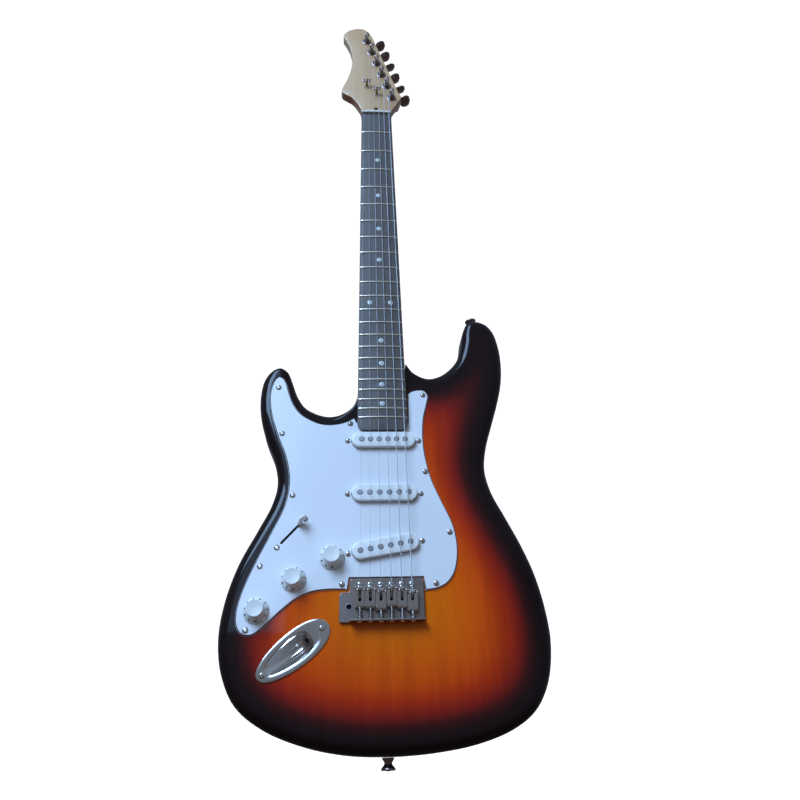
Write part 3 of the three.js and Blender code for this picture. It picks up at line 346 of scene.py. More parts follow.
def prism(outline, front, back, holes=(), front_inset=0.0, back_inset=0.0, edge=0.0):
    """Flat XZ piece between two depths, with holes; its sides may slope, its front edge may be rounded."""
    loops = [list(outline)] + [list(hole) for hole in holes]
    levels = [(front, front_inset + edge)]
    if edge:
        levels += [(front + edge * 0.3, front_inset + edge * 0.3), (front + edge, front_inset)]
    levels.append((back, back_inset))
    verts, faces, caps = [], [], {0: [], len(levels) - 1: []}
    for number, loop in enumerate(loops):
        sign = 1 if number == 0 else -1
        starts = []
        for level, (y, inset) in enumerate(levels):
            starts.append(len(verts))
            ring = offset(loop, sign * inset) if inset else loop
            if level in caps:
                caps[level].append((len(verts), ring))
            verts.extend(Vector((x, y, z)) for x, z in ring)
        for a, b in zip(starts, starts[1:]):
            faces.extend(strip(a, b, len(loop)))
    for rings in caps.values():
        index = [start + k for start, ring in rings for k in range(len(ring))]
        flat = [[Vector((x, z, 0)) for x, z in ring] for _, ring in rings]
        faces.extend(tuple(index[i] for i in tri) for tri in tessellate_polygon(flat))
    return verts, faces


def slab(left, right, top, bottom, front, back, radius, edge):
    """Rounded block given by its edges; top and bottom are distances down from the nut."""
    centre = ((left + right) / 2, -(top + bottom) / 2)
    outline = rounded_rect(right - left, bottom - top, radius, 5, centre)
    return prism(outline, front, back, edge=edge)


# ------------------------------------------------------------------ objects
def mesh_object(name, shape):
    mesh = bpy.data.meshes.new(name)
    mesh.from_pydata([Vector(v) * MM for v in shape[0]], [], shape[1])
    work = bmesh.new()
    work.from_mesh(mesh)
    bmesh.ops.remove_doubles(work, verts=work.verts, dist=1e-7)
    bmesh.ops.recalc_face_normals(work, faces=work.faces)
    work.to_mesh(mesh)
    work.free()
    thing = bpy.data.objects.new(name, mesh)
    bpy.context.collection.objects.link(thing)
    return thing


def shade(thing, sharp=35):
    thing.data.shade_smooth()
    thing.data.set_sharp_from_angle(angle=math.radians(sharp))


def evaluated_mesh(thing):
    depsgraph = bpy.context.evaluated_depsgraph_get()
    return bpy.data.meshes.new_from_object(thing.evaluated_get(depsgraph))


def carve(thing, *tools, operation="DIFFERENCE"):
    """Cuts solids out of a piece, or joins them to it, and applies the result."""
    for number, tool in enumerate(tools):
        cutter = mesh_object(f"tool_{number}", tool)
        step = thing.modifiers.new("carve", "BOOLEAN")
        step.operation = operation
        step.solver = "MANIFOLD"
        step.object = cutter
        result = evaluated_mesh(thing)
        thing.modifiers.clear()
        thing.data = result
        bpy.data.objects.remove(cutter)


def finish_piece(thing, material, slot, body="guitar", replaces=(), sharp=35):
    shade(thing, sharp)
    thing.data.materials.clear()
    thing.data.materials.append(material)
    if body:
        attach(thing, body)
    if replaces:
        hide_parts(*replaces)
    return thing


def piece(name, shape, finish, cuts=(), **options):
    """Makes one visible piece; finish is (material, slot), whose slot is not used, and cuts are the solids
    taken out of it.
    """
    thing = mesh_object(name, shape)
    carve(thing, *cuts)
    return finish_piece(thing, *finish, **options)


# ------------------------------------------------------------------ materials
def new_material(name, **values):
    """Principled material; values are set on the shader's own sockets."""
    material = bpy.data.materials.new(name)
    material.use_nodes = True
    shader = material.node_tree.nodes["Principled BSDF"]
    for label, value in values.items():
        shader.inputs[label.replace("_", " ")].default_value = value
    return material, shader


def rgb(red, green, blue):
    """Display colour, 0 to 255, as linear RGBA."""
    def channel(value):
        share = value / 255
        return share / 12.92 if share <= 0.04045 else ((share + 0.055) / 1.055) ** 2.4
    return (channel(red), channel(green), channel(blue), 1)


def add(material, kind, inputs=(), **values):
    """New shader node; inputs are (socket, value) pairs and values are its own settings."""
    made = material.node_tree.nodes.new(kind)
    for label, value in values.items():
        setattr(made, label, value)
    for socket, value in inputs:
        made.inputs[socket].default_value = value
    return made


def wire(material, output, target):
    material.node_tree.links.new(output, target)


def ramp(material, stops):
    made = add(material, "ShaderNodeValToRGB")
    elements = made.color_ramp.elements
    while len(elements) < len(stops):
        elements.new(0.5)
    for element, (place, colour) in zip(elements, stops):
        element.position = place
        element.color = colour
    return made


def noise(material, scale, detail=4.0, stretch=(1, 1, 1), roughness=0.5):
    """Noise in object coordinates; stretch squeezes it along each axis."""
    coordinates = add(material, "ShaderNodeTexCoord")
    mapping = add(material, "ShaderNodeMapping", (("Scale", stretch),))
    settings = (("Scale", scale), ("Detail", detail), ("Roughness", roughness))
    made = add(material, "ShaderNodeTexNoise", settings)
    wire(material, coordinates.outputs["Object"], mapping.inputs["Vector"])
    wire(material, mapping.outputs["Vector"], made.inputs["Vector"])
    return made.outputs["Fac"]


def uneven(material, shader, base, spread, scale, stretch=(1, 1, 1)):
    """Varies roughness a little over the surface."""
    ends = (("To Min", base - spread), ("To Max", base + spread))
    mottle = add(material, "ShaderNodeMapRange", ends)
    wire(material, noise(material, scale, 3, stretch), mottle.inputs["Value"])
    wire(material, mottle.outputs["Result"], shader.inputs["Roughness"])


def bumpy(material, shader, height, strength, distance):
    bump = add(material, "ShaderNodeBump", (("Strength", strength), ("Distance", distance)))
    wire(material, height, bump.inputs["Height"])
    wire(material, bump.outputs["Normal"], shader.inputs["Normal"])


def coloured(material, shader, height, stops):
    """Colours a shader by a ramp over a height."""
    tint = ramp(material, stops)
    wire(material, height, tint.inputs["Fac"])
    wire(material, tint.outputs["Color"], shader.inputs["Base Color"])


def metal(name, colour, roughness, spread=0.02, scale=60):
    material, shader = new_material(name, Base_Color=rgb(*colour), Metallic=1.0)
    uneven(material, shader, roughness, spread, scale)
    return material


def plastic(name, colour, roughness, coat=0.35):
    material, shader = new_material(name, Coat_Weight=coat, Coat_Roughness=0.06)
    darker = rgb(*(channel - 4 for channel in colour))
    coloured(material, shader, noise(material, 14, 2), ((0.3, darker), (0.7, rgb(*colour))))
    uneven(material, shader, roughness, 0.03, 40)
    return material


def maple(name, light, dark):
    """Pale wood with fine streaks along the neck."""
    material, shader = new_material(name, Coat_Weight=0.5, Coat_Roughness=0.08)
    height = noise(material, 60, 6, (1, 1, 0.08), 0.6)
    coloured(material, shader, height, ((0.32, rgb(*dark)), (0.68, rgb(*light))))
    uneven(material, shader, 0.36, 0.04, 30)
    bumpy(material, shader, height, 0.06, 0.0004)
    return material, shader


BURST_REACH = 100
BURST_STOPS = (
    (9, (22, 10, 12)), (17, (33, 12, 13)), (25, (70, 18, 16)), (34, (142, 29, 18)),
    (46, (190, 50, 8)), (58, (218, 76, 3)), (76, (230, 95, 1)), (98, (234, 114, 0)),
)


def sunburst():
    """Clear-coated wood shaded from amber in the middle to near black at the rim."""
    material, shader = new_material(
        "sunburst_lacquer", Coat_Weight=0.45, Coat_Roughness=0.04, Coat_IOR=1.5, Specular_IOR_Level=0.05
    )
    reach = add(material, "ShaderNodeAttribute", attribute_name="burst")
    burst = ramp(material, [(d / BURST_REACH, rgb(*colour)) for d, colour in BURST_STOPS])
    wire(material, reach.outputs["Fac"], burst.inputs["Fac"])
    grain = ramp(material, ((0.35, (0.72, 0.66, 0.6, 1)), (0.6, (1, 1, 1, 1))))
    wire(material, noise(material, 95, 5, (1, 1, 0.07), 0.62), grain.inputs["Fac"])
    mix = add(material, "ShaderNodeMix", ((0, 0.55),), data_type="RGBA", blend_type="MULTIPLY")
    wire(material, burst.outputs["Color"], mix.inputs["A"])
    wire(material, grain.outputs["Color"], mix.inputs["B"])
    wire(material, mix.outputs[2], shader.inputs["Base Color"])
    uneven(material, shader, 0.34, 0.04, 25)
    return material


def dark_fretwood():
    material, shader = new_material("dark_fretwood", Coat_Weight=0.1, Coat_Roughness=0.3)
    height = noise(material, 120, 7, (1, 1, 0.06), 0.65)
    stops = ((0.3, rgb(70, 64, 60)), (0.55, rgb(80, 73, 68)), (0.75, rgb(90, 82, 75)))
    coloured(material, shader, height, stops)
    uneven(material, shader, 0.5, 0.05, 80, (1, 1, 0.2))
    bumpy(material, shader, height, 0.15, 0.0003)
    return material


def wound_steel():
    """Round-wound string: fine rings across its length."""
    material, shader = new_material("wound_steel", Base_Color=rgb(178, 180, 184), Metallic=1.0)
    coordinates = add(material, "ShaderNodeTexCoord")
    rings = add(material, "ShaderNodeTexWave", (("Scale", 900),), wave_type="BANDS", bands_direction="Z")
    wire(material, coordinates.outputs["Object"], rings.inputs["Vector"])
    bumpy(material, shader, rings.outputs["Fac"], 0.5, 0.0001)
    uneven(material, shader, 0.45, 0.03, 90)
    return material


def tinted_maple():
    """Maple of the neck's sides and back, painted darker and warmer than the front as painted shade, and
    fading up the headstock to the front's pale tone as painted light on the walls there.
    """
    material, shader = maple("tinted_maple", (172, 116, 76), (152, 98, 62))
    grain = shader.inputs["Base Color"].links[0].from_socket
    place = add(material, "ShaderNodeTexCoord")
    height = add(material, "ShaderNodeSeparateXYZ")
    # Painted light: higher up the headstock the walls fade from the painted-shade brown to the pale front
    # tone.
    painted_light_fade = add(material, "ShaderNodeMapRange", (("From Min", 0.055), ("From Max", 0.1)))
    mix = add(material, "ShaderNodeMix", data_type="RGBA")
    mix.inputs["B"].default_value = rgb(200, 163, 119)
    wire(material, place.outputs["Object"], height.inputs["Vector"])
    wire(material, height.outputs["Z"], painted_light_fade.inputs["Value"])
    wire(material, painted_light_fade.outputs["Result"], mix.inputs[0])
    wire(material, grain, mix.inputs["A"])
    wire(material, mix.outputs[2], shader.inputs["Base Color"])
    return material


LACQUER = (sunburst(), "body_lacquer")
# Darker copy of the maple for the neck's sides and back, which is painted shade.
PAINTED_SHADE_MAPLE = tinted_maple()
MAPLE = (maple("pale_maple", (207, 171, 128), (194, 154, 110))[0], "neck_maple")
FRETWOOD = (dark_fretwood(), "fretboard_wood")
BONE = (plastic("bone", (216, 211, 196), 0.4, 0.15), "nut_bone")
PEARL = (plastic("pearl_dot", (190, 194, 190), 0.3, 0.4), "nut_bone")
WHITE_PLY = (plastic("guard_white", (237, 238, 240), 0.22), "guard_plastic")
DARK_PLY = (plastic("guard_dark", (26, 26, 28), 0.3), "guard_plastic")
COVER_WHITE = (plastic("cover_white", (240, 240, 236), 0.2, 0.5), "cover_plastic")
PRINT = (plastic("dial_print", (40, 44, 50), 0.5, 0.0), "cover_plastic")
CHROME = (metal("chrome", (226, 225, 224), 0.07), "chrome")
SATIN_CHROME = (metal("satin_chrome", (178, 180, 184), 0.3, 0.05, 90), "chrome")
PLATE_STEEL = (metal("bridge_plate_steel", (140, 128, 121), 0.36, 0.05, 50), "chrome")
DARK_CHROME = (metal("dark_chrome", (152, 134, 128), 0.3, 0.04), "dark_chrome")
STEEL = (metal("steel", (168, 169, 171), 0.34, 0.06, 45), "steel")
STRING = (metal("plain_string", (178, 180, 184), 0.42, 0.03, 120), "string_steel")
WOUND = (wound_steel(), "string_steel")
FRET_METAL = (metal("fret_metal", (232, 226, 208), 0.3, 0.04, 80), "steel")


# ------------------------------------------------------------------ body
def bump(patch, x, z):
    reach = ((x - patch["x"]) / patch["rx"]) ** 2 + ((-z - patch["down"]) / patch["rd"]) ** 2
    return patch["depth"] * (1 - reach) ** 2 if reach < 1 else 0.0


def front_y(x, z):
    return BODY_TOP + bump(FOREARM, x, z)


def back_y(x, z):
    return BODY_BACK - bump(BELLY, x, z)


def round_at(x, z):
    clear_of_neck = max(abs(x) - 30, -z - 470, 0)
    return min(BODY_ROUND, BODY_ROUND_AT_NECK + clear_of_neck * 0.45)


def edge_radii(outline):
    """Rounding radius at each point, held below the curve's own radius so that it can't fold over."""
    points = np.array(outline)
    reach, spread = 3, range(-4, 5)
    before, after = np.roll(points, reach, axis=0), np.roll(points, -reach, axis=0)
    a, b = points - before, after - points
    cross = (a[:, 0] * b[:, 1] - a[:, 1] * b[:, 0]) * math.copysign(1, area(list(outline)))
    sides = np.linalg.norm(a, axis=1) * np.linalg.norm(b, axis=1) * np.linalg.norm(after - before, axis=1)
    own = sides / np.maximum(2 * cross, 1e-6)
    wanted = np.array([round_at(x, z) for x, z in outline])
    held = np.minimum(wanted, 0.6 * own)
    lowest = np.min([np.roll(held, k) for k in spread], axis=0)
    return np.mean([np.roll(lowest, k) for k in spread], axis=0)


def inside(points, loop):
    """Which of the points lie inside a closed loop, by counting crossings."""
    ends = np.roll(loop, -1, axis=0)
    crossings = np.zeros(len(points), int)
    for (x0, z0), (x1, z1) in zip(loop, ends):
        if z0 != z1:
            spans = (points[:, 1] > min(z0, z1)) & (points[:, 1] <= max(z0, z1))
            at = x0 + (points[:, 1] - z0) / (z1 - z0) * (x1 - x0)
            crossings += spans & (at > points[:, 0])
    return crossings % 2 == 1


def nearest(points, loop):
    gaps = points[:, None, :] - loop[None, :, :]
    return np.sqrt((gaps ** 2).sum(axis=2)).min(axis=1)


def filled(loop, spacing):
    """Even triangles over a closed loop: (points, faces), the loop's own points first."""
    edge = np.array(loop)
    low, high = edge.min(axis=0), edge.max(axis=0)
    rows = int((high[1] - low[1]) / (spacing * 0.866))
    columns = int((high[0] - low[0]) / spacing) + 1
    grid = np.array([
        (low[0] + (c + 0.5 * (r % 2)) * spacing, low[1] + r * spacing * 0.866)
        for r in range(rows) for c in range(columns)
    ])
    grid = grid[inside(grid, edge)]
    grid = grid[nearest(grid, edge) > spacing * 0.6]
    points = [Vector(p) for p in np.vstack((edge, grid))]
    rim = [(i, (i + 1) % len(loop)) for i in range(len(loop))]
    flat, _, faces, origins, _, _ = delaunay_2d_cdt(points, rim, [tuple(range(len(loop)))], 1, 1e-5)
    assert [o[0] for o in origins[:len(loop)]] == list(range(len(loop)))
    return flat, faces


def fill_ring(verts, faces, start, rim, spacing, surface):
    """Closes the ring that begins at start with even triangles on the surface y(x, z)."""
    count = len(rim)
    flat, cap = filled(rim, spacing)
    base = len(verts) - count
    verts.extend(Vector((p.x, surface(p.x, p.y), p.y)) for p in flat[count:])
    faces.extend(tuple(start + i if i < count else base + i for i in face) for face in cap)


def body_blank():
    outline = spline(BODY_OUTLINE, True, 6)
    steps = 7
    rings = []
    radii = edge_radii(outline)
    for surface, sign, order in ((front_y, 1, range(steps, -1, -1)), (back_y, -1, range(steps + 1))):
        for k in order:
            angle = math.pi / 2 * k / steps
            ring = offset(outline, radii * (1 - math.cos(angle)))
            rings.append([
                (x, surface(x, z) + sign * r * (1 - math.sin(angle)), z)
                for (x, z), r in zip(ring, radii)
            ])
    count = len(outline)
    verts, faces = loft(rings, caps=False)
    for start, surface in ((0, front_y), (len(verts) - count, back_y)):
        rim = [(v.x, v.z) for v in verts[start:start + count]]
        fill_ring(verts, faces, start, rim, 4.0, surface)
    return verts, faces


def set_burst(thing):
    """Stores how far each point is from the rim, softened at creases and shortened in the upper bout."""
    rim = np.array(spline(BODY_OUTLINE, True, 6))
    following = np.roll(rim, -1, axis=0)
    step = np.linalg.norm(following - rim, axis=1)
    middle = 0.5 * (rim + following)
    co = np.array([(v.co.x / MM, v.co.z / MM) for v in thing.data.vertices])
    reach = []
    for part in np.array_split(co, 40):
        gap2 = ((part[:, None, :] - middle[None, :, :]) ** 2).sum(axis=2) + 4
        reach.append(((step / gap2 ** 2).sum(axis=1) * 2 / math.pi) ** (-1 / 3))
    down = np.clip((-co[:, 1] - 430) / 210, 0, 1)
    values = np.concatenate(reach) * (0.8 + 0.2 * down) / BURST_REACH
    burst = thing.data.attributes.new("burst", "FLOAT", "POINT")
    burst.data.foreach_set("value", values.astype(np.float32))


def jack_turn(shape):
    """Moves a piece drawn along the jack plate, with +X towards its upper end, to its place."""
    return placed(shape, JACK["x"], JACK["down"], JACK["heading"])


def dish_point(angle, size):
    x = lerp(DISH["deepest"], DISH["centre"] + DISH["half"] * math.cos(angle), size)
    sine = math.sin(angle)
    taper = 0.83 + 0.22 * math.cos(angle)
    return (x, DISH["half_width"] * taper * math.copysign(abs(sine) ** 0.5, sine) * size)


def build_body():
    body = mesh_object("body_shell", body_blank())
    through = BODY_BACK + 5
    pocket = slab(-POCKET_HALF, POCKET_HALF, POCKET_START, HEEL_END + 0.4, -CLEAR, POCKET_FLOOR, 2, 0)
    bridge_route = slab(*BRIDGE_ROUTE, -CLEAR, through, 1.2, 0)
    spring_route = slab(*SPRING_ROUTE, SPRING_ROUTE_Y, through, 4, 0)
    control = prism(spline(CONTROL_OUTLINE, True, 3), -CLEAR, CONTROL_FLOOR)
    pickup_routes = []
    for _, down, tilt in PICKUPS:
        outline = rounded_rect(*PICKUP_ROUTE, 5, 4, (PICKUP_X, -down), math.radians(-tilt))
        pickup_routes.append(prism(outline, -CLEAR, PICKUP_FLOOR))
    dish = [dish_point(FULL * k / 32, DISH["room"]) for k in range(32)]
    jack_recess = jack_turn(prism(dish, -CLEAR, DISH["recess"]))
    carve(body, pocket, bridge_route, spring_route, control, *pickup_routes, jack_recess)
    set_burst(body)
    finish_piece(body, *LACQUER, replaces=("body",), sharp=40)


build_body()


# ------------------------------------------------------------------ plain CAD nodes that stay visible
def dress(node_name, finish):
    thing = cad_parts[node_name]
    thing.data.materials.clear()
    thing.data.materials.append(finish[0])


# ------------------------------------------------------------------ neck and headstock
def fret_down(fret):
    return SCALE_LENGTH * (1 - FRET_RATIO ** -fret)


def board_half(down):
    return 0.5 * lerp(NUT_WIDTH, WIDTH_AT_LAST_FRET, max(down, 0) / fret_down(FRET_COUNT))


def crown_drop(x):
    return x * x / (2 * BOARD_RADIUS)


# Cross-sections of the neck: (down, front, back, exponent of its rounded back).
NECK_SECTIONS = (
    (HEEL_END, 0, HEEL_DEPTH, 14), (400, 0, HEEL_DEPTH, 14), (385, 0, HEEL_DEPTH - 0.5, 7),
    (375, 0, 17.9, 4), (366, 0, 17.2, 2.9), (352, 0, 17, 2.5), (340, 0, 17, 2.4), (170, 0, 16.3, 2.4),
    (0, 0, NECK_DEPTH, 2.4), (-4.4, 0, NECK_DEPTH, 2.8), (-7, 0.6, NECK_DEPTH, 3.6),
    (-11, 1.7, NECK_DEPTH, 6), (-17, HEAD_FACE + 0.2, NECK_DEPTH, 9),
)
NECK_STEPS = 40
ROD_ACCESS = (-2.6, 2.6, -19, -7)
SECTION_SPACING = 14


def neck_ring(down, front, back, square):
    half = board_half(down)
    ring = []
    for k in range(NECK_STEPS + 1):
        angle = math.pi * k / NECK_STEPS
        c, s = math.cos(angle), abs(math.sin(angle))
        x = half * math.copysign(abs(c) ** (2 / square), c)
        ring.append((x, front + (back - front) * s ** (2 / square), -down))
    return ring


def neck_shaft():
    sections = []
    for first, second in zip(NECK_SECTIONS, NECK_SECTIONS[1:]):
        parts = max(1, round((first[0] - second[0]) / SECTION_SPACING))
        sections.extend(
            tuple(lerp(a, b, k / parts) for a, b in zip(first, second)) for k in range(parts)
        )
    sections.append(NECK_SECTIONS[-1])
    return loft([neck_ring(*section) for section in sections])


def head_outline():
    return spline(HEAD_LEFT, False, 5) + spline(HEAD_UPPER, False, 6) + spline(HEAD_LOWER, False, 5)


def rounded_plate(outline, front, back, radius, steps=4):
    """Flat piece with both edges rounded over."""
    rings = []
    for face, direction, order in ((front, 1, range(steps, -1, -1)), (back, -1, range(steps + 1))):
        for k in order:
            angle = math.pi / 2 * k / steps
            ring = offset(outline, radius * (1 - math.cos(angle)))
            y = face + direction * radius * (1 - math.sin(angle))
            rings.append([(x, y, z) for x, z in ring])
    verts, faces = loft(rings, caps=False)
    for start, ring in ((0, rings[0]), (len(verts) - len(outline), rings[-1])):
        faces.extend(flat_cap([(x, z) for x, _, z in ring], start))
    return verts, faces


def post_place(i):
    return tuple(lerp(a, b, i / 5) for a, b in zip(POST_FIRST, POST_LAST))


KEY_TURN = math.atan2(POST_LAST[0] - POST_FIRST[0], POST_LAST[1] - POST_FIRST[1])


def tuner_turn(shape, i):
    """Moves a piece drawn with its key shaft along +X and its post on the origin to its place."""
    return placed(shape, *post_place(i), KEY_TURN)


def build_neck():
    neck = mesh_object("neck_and_headstock", neck_shaft())
    carve(neck, rounded_plate(head_outline(), HEAD_FACE, HEAD_BACK, 1.6), operation="UNION")
    holes = []
    for i in STRINGS:
        x, down = post_place(i)
        holes.append(shifted(cylinder(4.6, HEAD_FACE - 6, HEAD_BACK + 5), x, 0, -down))
    rod_access = slab(*ROD_ACCESS, -1, 8, 2.5, 0)
    carve(neck, *holes, rod_access)
    finish_piece(neck, *MAPLE, replaces=("neck",), sharp=40)
    neck.data.materials.append(PAINTED_SHADE_MAPLE)
    # Painted shade: faces that don't face the front take the darker copy of the maple.
    for face in neck.data.polygons:
        face.material_index = 0 if face.normal.y < -0.8 else 1
    hex_end = tube([(0, 4.6, 4), (0, 4.6, 13)], 2.1, 6)
    piece("truss_rod_end", hex_end, DARK_CHROME)


def board_outline():
    corner, steps = 9, 8
    half = board_half(BOARD_END)
    sides = range(0, 470, 10)
    loop = [(-board_half(d), -d) for d in sides]
    for sign, start in ((-1, 0.5), (1, 0.75)):
        for k in range(steps + 1):
            angle = FULL * (start + 0.25 * k / steps)
            x = sign * (half - corner) + corner * math.cos(angle)
            loop.append((x, -(BOARD_END - corner) + corner * math.sin(angle)))
    loop.extend((board_half(d), -d) for d in reversed(sides))
    return loop


def board_y(x, _):
    return BOARD_TOP + crown_drop(x)


def build_fretboard():
    outline = board_outline()
    glued = [(x, -0.05, z) for x, z in outline]
    played = [(x, board_y(x, z), z) for x, z in outline]
    verts, faces = loft([glued, played], caps=False)
    faces.append(tuple(range(len(outline))))
    fill_ring(verts, faces, len(outline), outline, 4.5, board_y)
    piece("fretboard_plate", (verts, faces), FRETWOOD, replaces=("fretboard",), sharp=30)


OCTAVE = 12
OCTAVE_DOTS = 12.5


def fret_wire(number):
    """Half-round wire across the board, with its ends filed to a slope."""
    middle = -fret_down(number)
    half = board_half(-middle) - 0.1
    crown, end_crown, width, filed, sunk = 1.15, 0.35, 1.25, 1.0, 0.25
    stations = [-half, -half + filed] + [half * (k / 6 - 1) for k in range(1, 12)] + [half - filed, half]
    arch = [math.pi * k / 8 for k in range(9)]
    rings = []
    for x in stations:
        rise = crown if abs(x) < half else end_crown
        top = BOARD_TOP + crown_drop(x)
        ring = [(x, top - rise * math.sin(a), middle + width * math.cos(a)) for a in arch]
        rings.append(ring + [(x, top + sunk, middle - width), (x, top + sunk, middle + width)])
    return loft(rings)


def build_frets():
    for number in range(1, FRET_COUNT + 1):
        piece(f"fret_{number}", fret_wire(number), FRET_METAL, sharp=50)


def build_dots():
    """Dots in the face and the upper edge of the fretboard: one between two frets, a pair at the octave."""
    face_dot = lathe(((0, 0), (2.9, 0), (3.0, 0.05), (3.0, 1), (0, 1)), 28)
    side_dot = turned(lathe(((0, -0.05), (0.9, -0.05), (1, 0.05), (1, 0.6), (0, 0.6)), 16), 90, "Z")
    face_dots, side_dots = [], []
    for fret in (3, 5, 7, 9, 15, 17, 19, 21, OCTAVE):
        down = 0.5 * (fret_down(fret - 1) + fret_down(fret))
        for side in ((-1, 1) if fret == OCTAVE else (0,)):
            x = side * OCTAVE_DOTS
            tilted = turned(face_dot, math.degrees(x / BOARD_RADIUS), "Z")
            face_dots.append(shifted(tilted, x, BOARD_TOP + crown_drop(x) - 0.06, -down))
            side_dots.append(shifted(side_dot, board_half(down), BOARD_TOP / 2 + 0.6, -down + side * 5))
    piece("position_dots", merged(*face_dots), PEARL)
    piece("side_dots", merged(*side_dots), PEARL)


def string_at_nut(i):
    return SPREAD_NUT * (i / 5 - 0.5)


def string_at_bridge(i):
    return SPREAD_BRIDGE * (i / 5 - 0.5)


def build_nut():
    """Nut as its cross-section across the neck, with a round slot for each string."""
    half = NUT_WIDTH / 2
    drop, bevel, lip = crown_drop(half), 0.7, 0.15
    top = [(-half, -0.05), (half, -0.05), (half, NUT_TOP + bevel + drop), (half - bevel, NUT_TOP + drop)]
    for i in reversed(STRINGS):
        x, slot = string_at_nut(i), STRING_RADII[i] + 0.2
        crown = NUT_TOP + crown_drop(x)
        middle = NUT_SLOT_FLOOR + crown_drop(x) - slot
        top.append((x + slot + lip, crown))
        for k in range(7):
            angle = math.pi * k / 6
            top.append((x + slot * math.cos(angle), middle + slot * math.sin(angle)))
        top.append((x - slot - lip, crown))
    top += [(-half + bevel, NUT_TOP + drop), (-half, NUT_TOP + bevel + drop)]
    outline = [(x, -y) for x, y in top]
    flat, faces = prism(outline, 0.05, NUT_LENGTH + 0.05)
    block = [Vector((v.x, -v.z, v.y)) for v in flat]
    piece("string_nut", (block, faces), BONE, replaces=("nut",), sharp=30)


build_neck()
build_fretboard()
build_frets()
build_dots()
build_nut()


# ------------------------------------------------------------------ screws
def mesh_shape(mesh, scale=1):
    return [v.co * scale for v in mesh.vertices], [tuple(face.vertices) for face in mesh.polygons]


def screw_head(radius, height, turn=0):
    """Screw head that stands on y = 0 and rises towards -Y, with a cross recess cut into it."""
    profile = (
        (0, -height), (radius * 0.45, -height * 0.95), (radius * 0.8, -height * 0.66),
        (radius, -height * 0.2), (radius, 0.1), (0, 0.1),
    )
    arm, width = radius * 0.62, radius * 0.2
    cross = [
        prism(rounded_rect(2 * across, 2 * along, width * 0.5, 2), -height - 2, radius * 0.42 - height)
        for across, along in ((width, arm), (arm, width))
    ]
    blank = mesh_object("screw_blank", lathe(profile, 24))
    carve(blank, *cross)
    shape = mesh_shape(blank.data, 1 / MM)
    bpy.data.objects.remove(blank)
    return turned(shape, turn, "Y")


SMALL_SCREW = screw_head(3.1, 1.5, turn=20)
PLATE_SCREW = screw_head(4.2, 1.9, turn=35)
TINY_SCREW = screw_head(1.7, 0.9, turn=10)


def facing(shape, direction):
    """Turns a piece that faces -Y to face along a direction."""
    aim = Vector((0, -1, 0)).rotation_difference(Vector(direction).normalized())
    return moved(shape, aim.to_matrix().to_4x4())


def stretched(shape, x, y, z):
    return moved(shape, Matrix.Diagonal((x, y, z, 1)))


def copies(shape, places):
    """One piece made of copies of a shape at (x, y, z) places."""
    return merged(*(shifted(shape, *place) for place in places))


# ------------------------------------------------------------------ pickguard and what it carries
COVER_SIZE = (70, 18)
COVER_CORNER = 8.9
GUARD_PLIES = (
    ("guard_top_ply", GUARD_TOP, 2.5, 1.5, 1.2, WHITE_PLY),
    ("guard_middle_ply", 2.5, 3.15, 1.2, 0.45, DARK_PLY),
    ("guard_bottom_ply", 3.15, GUARD_BOTTOM, 0.45, 0.0, WHITE_PLY),
)


def guard_outline():
    """Outline with the neck pocket's straight sides at the top and a notch for the bridge plate below."""
    notch = -(PLATE_FRONT_DOWN - NOTCH_GAP)
    side = POCKET_HALF + 0.4
    bridge = [(PLATE_LEFT - NOTCH_GAP, notch), (PLATE_RIGHT + NOTCH_GAP, notch)]
    curves = spline(GUARD_LEFT, False, 6) + bridge + spline(GUARD_RIGHT, False, 6)
    return [(-side, -HEEL_END - 1), *curves, (side, -HEEL_END - 1)]


def guard_holes():
    gap = 0.4
    width, height = (size + 2 * gap for size in COVER_SIZE)
    for _, down, tilt in PICKUPS:
        place = (PICKUP_X, -down)
        yield rounded_rect(width, height, COVER_CORNER + gap, 12, place, math.radians(-tilt))
    for _, x, down in KNOBS:
        yield circle(4.3, 24, (x, -down))
    yield rounded_rect(SWITCH["slot"], 2.6, 1.25, 4, (SWITCH["x"], -SWITCH["down"]), SWITCH["heading"])


def build_guard():
    outline = guard_outline()
    holes = list(guard_holes())
    count = len(outline)
    for name, front, back, inset, back_inset, finish in GUARD_PLIES:
        verts, faces = prism(offset(outline, inset), front, back, holes)
        verts[count:2 * count] = [Vector((x, back, z)) for x, z in offset(outline, back_inset)]
        piece(name, (verts, faces), finish, replaces=("pickguard",), sharp=25)
    places = [(x, GUARD_TOP, -down) for x, down in GUARD_SCREWS]
    piece("guard_screws", copies(SMALL_SCREW, places), CHROME)


def build_pickup(name, down, tilt):
    def place(shape):
        return shifted(turned(shape, tilt, "Y"), PICKUP_X, 0, -down)

    cover = rounded_plate(rounded_rect(*COVER_SIZE, COVER_CORNER, 12), COVER_TOP, 9.6, 1.3)
    foot = COVER_TOP + 6
    poles, holes = [], []
    for i in STRINGS:
        x = POLE_SPREAD[name] * (i / 5 - 0.5)
        top = COVER_TOP - 0.35 - 0.25 * math.sin(1.1 * i + 0.6)
        pole = lathe(((0, top), (2.3, top), (2.6, top + 0.3), (2.6, foot), (0, foot)), 24)
        poles.append(shifted(pole, x, 0, 0))
        holes.append(place(tube([(x, COVER_TOP - 1, 0), (x, COVER_TOP + 5, 0)], 3.0, 24)))
    piece(f"{name}_cover", place(cover), COVER_WHITE, holes, replaces=(name,))
    flange = prism(rounded_rect(83, 25, 5, 5), 9.0, 11.0, edge=0.3)
    piece(f"{name}_flange", place(flange), DARK_PLY, replaces=(name,))
    piece(f"{name}_poles", place(merged(*poles)), SATIN_CHROME)
    screws = copies(SMALL_SCREW, [(side, GUARD_TOP, 0) for side in (-39, 39)])
    piece(f"{name}_screws", place(screws), CHROME)


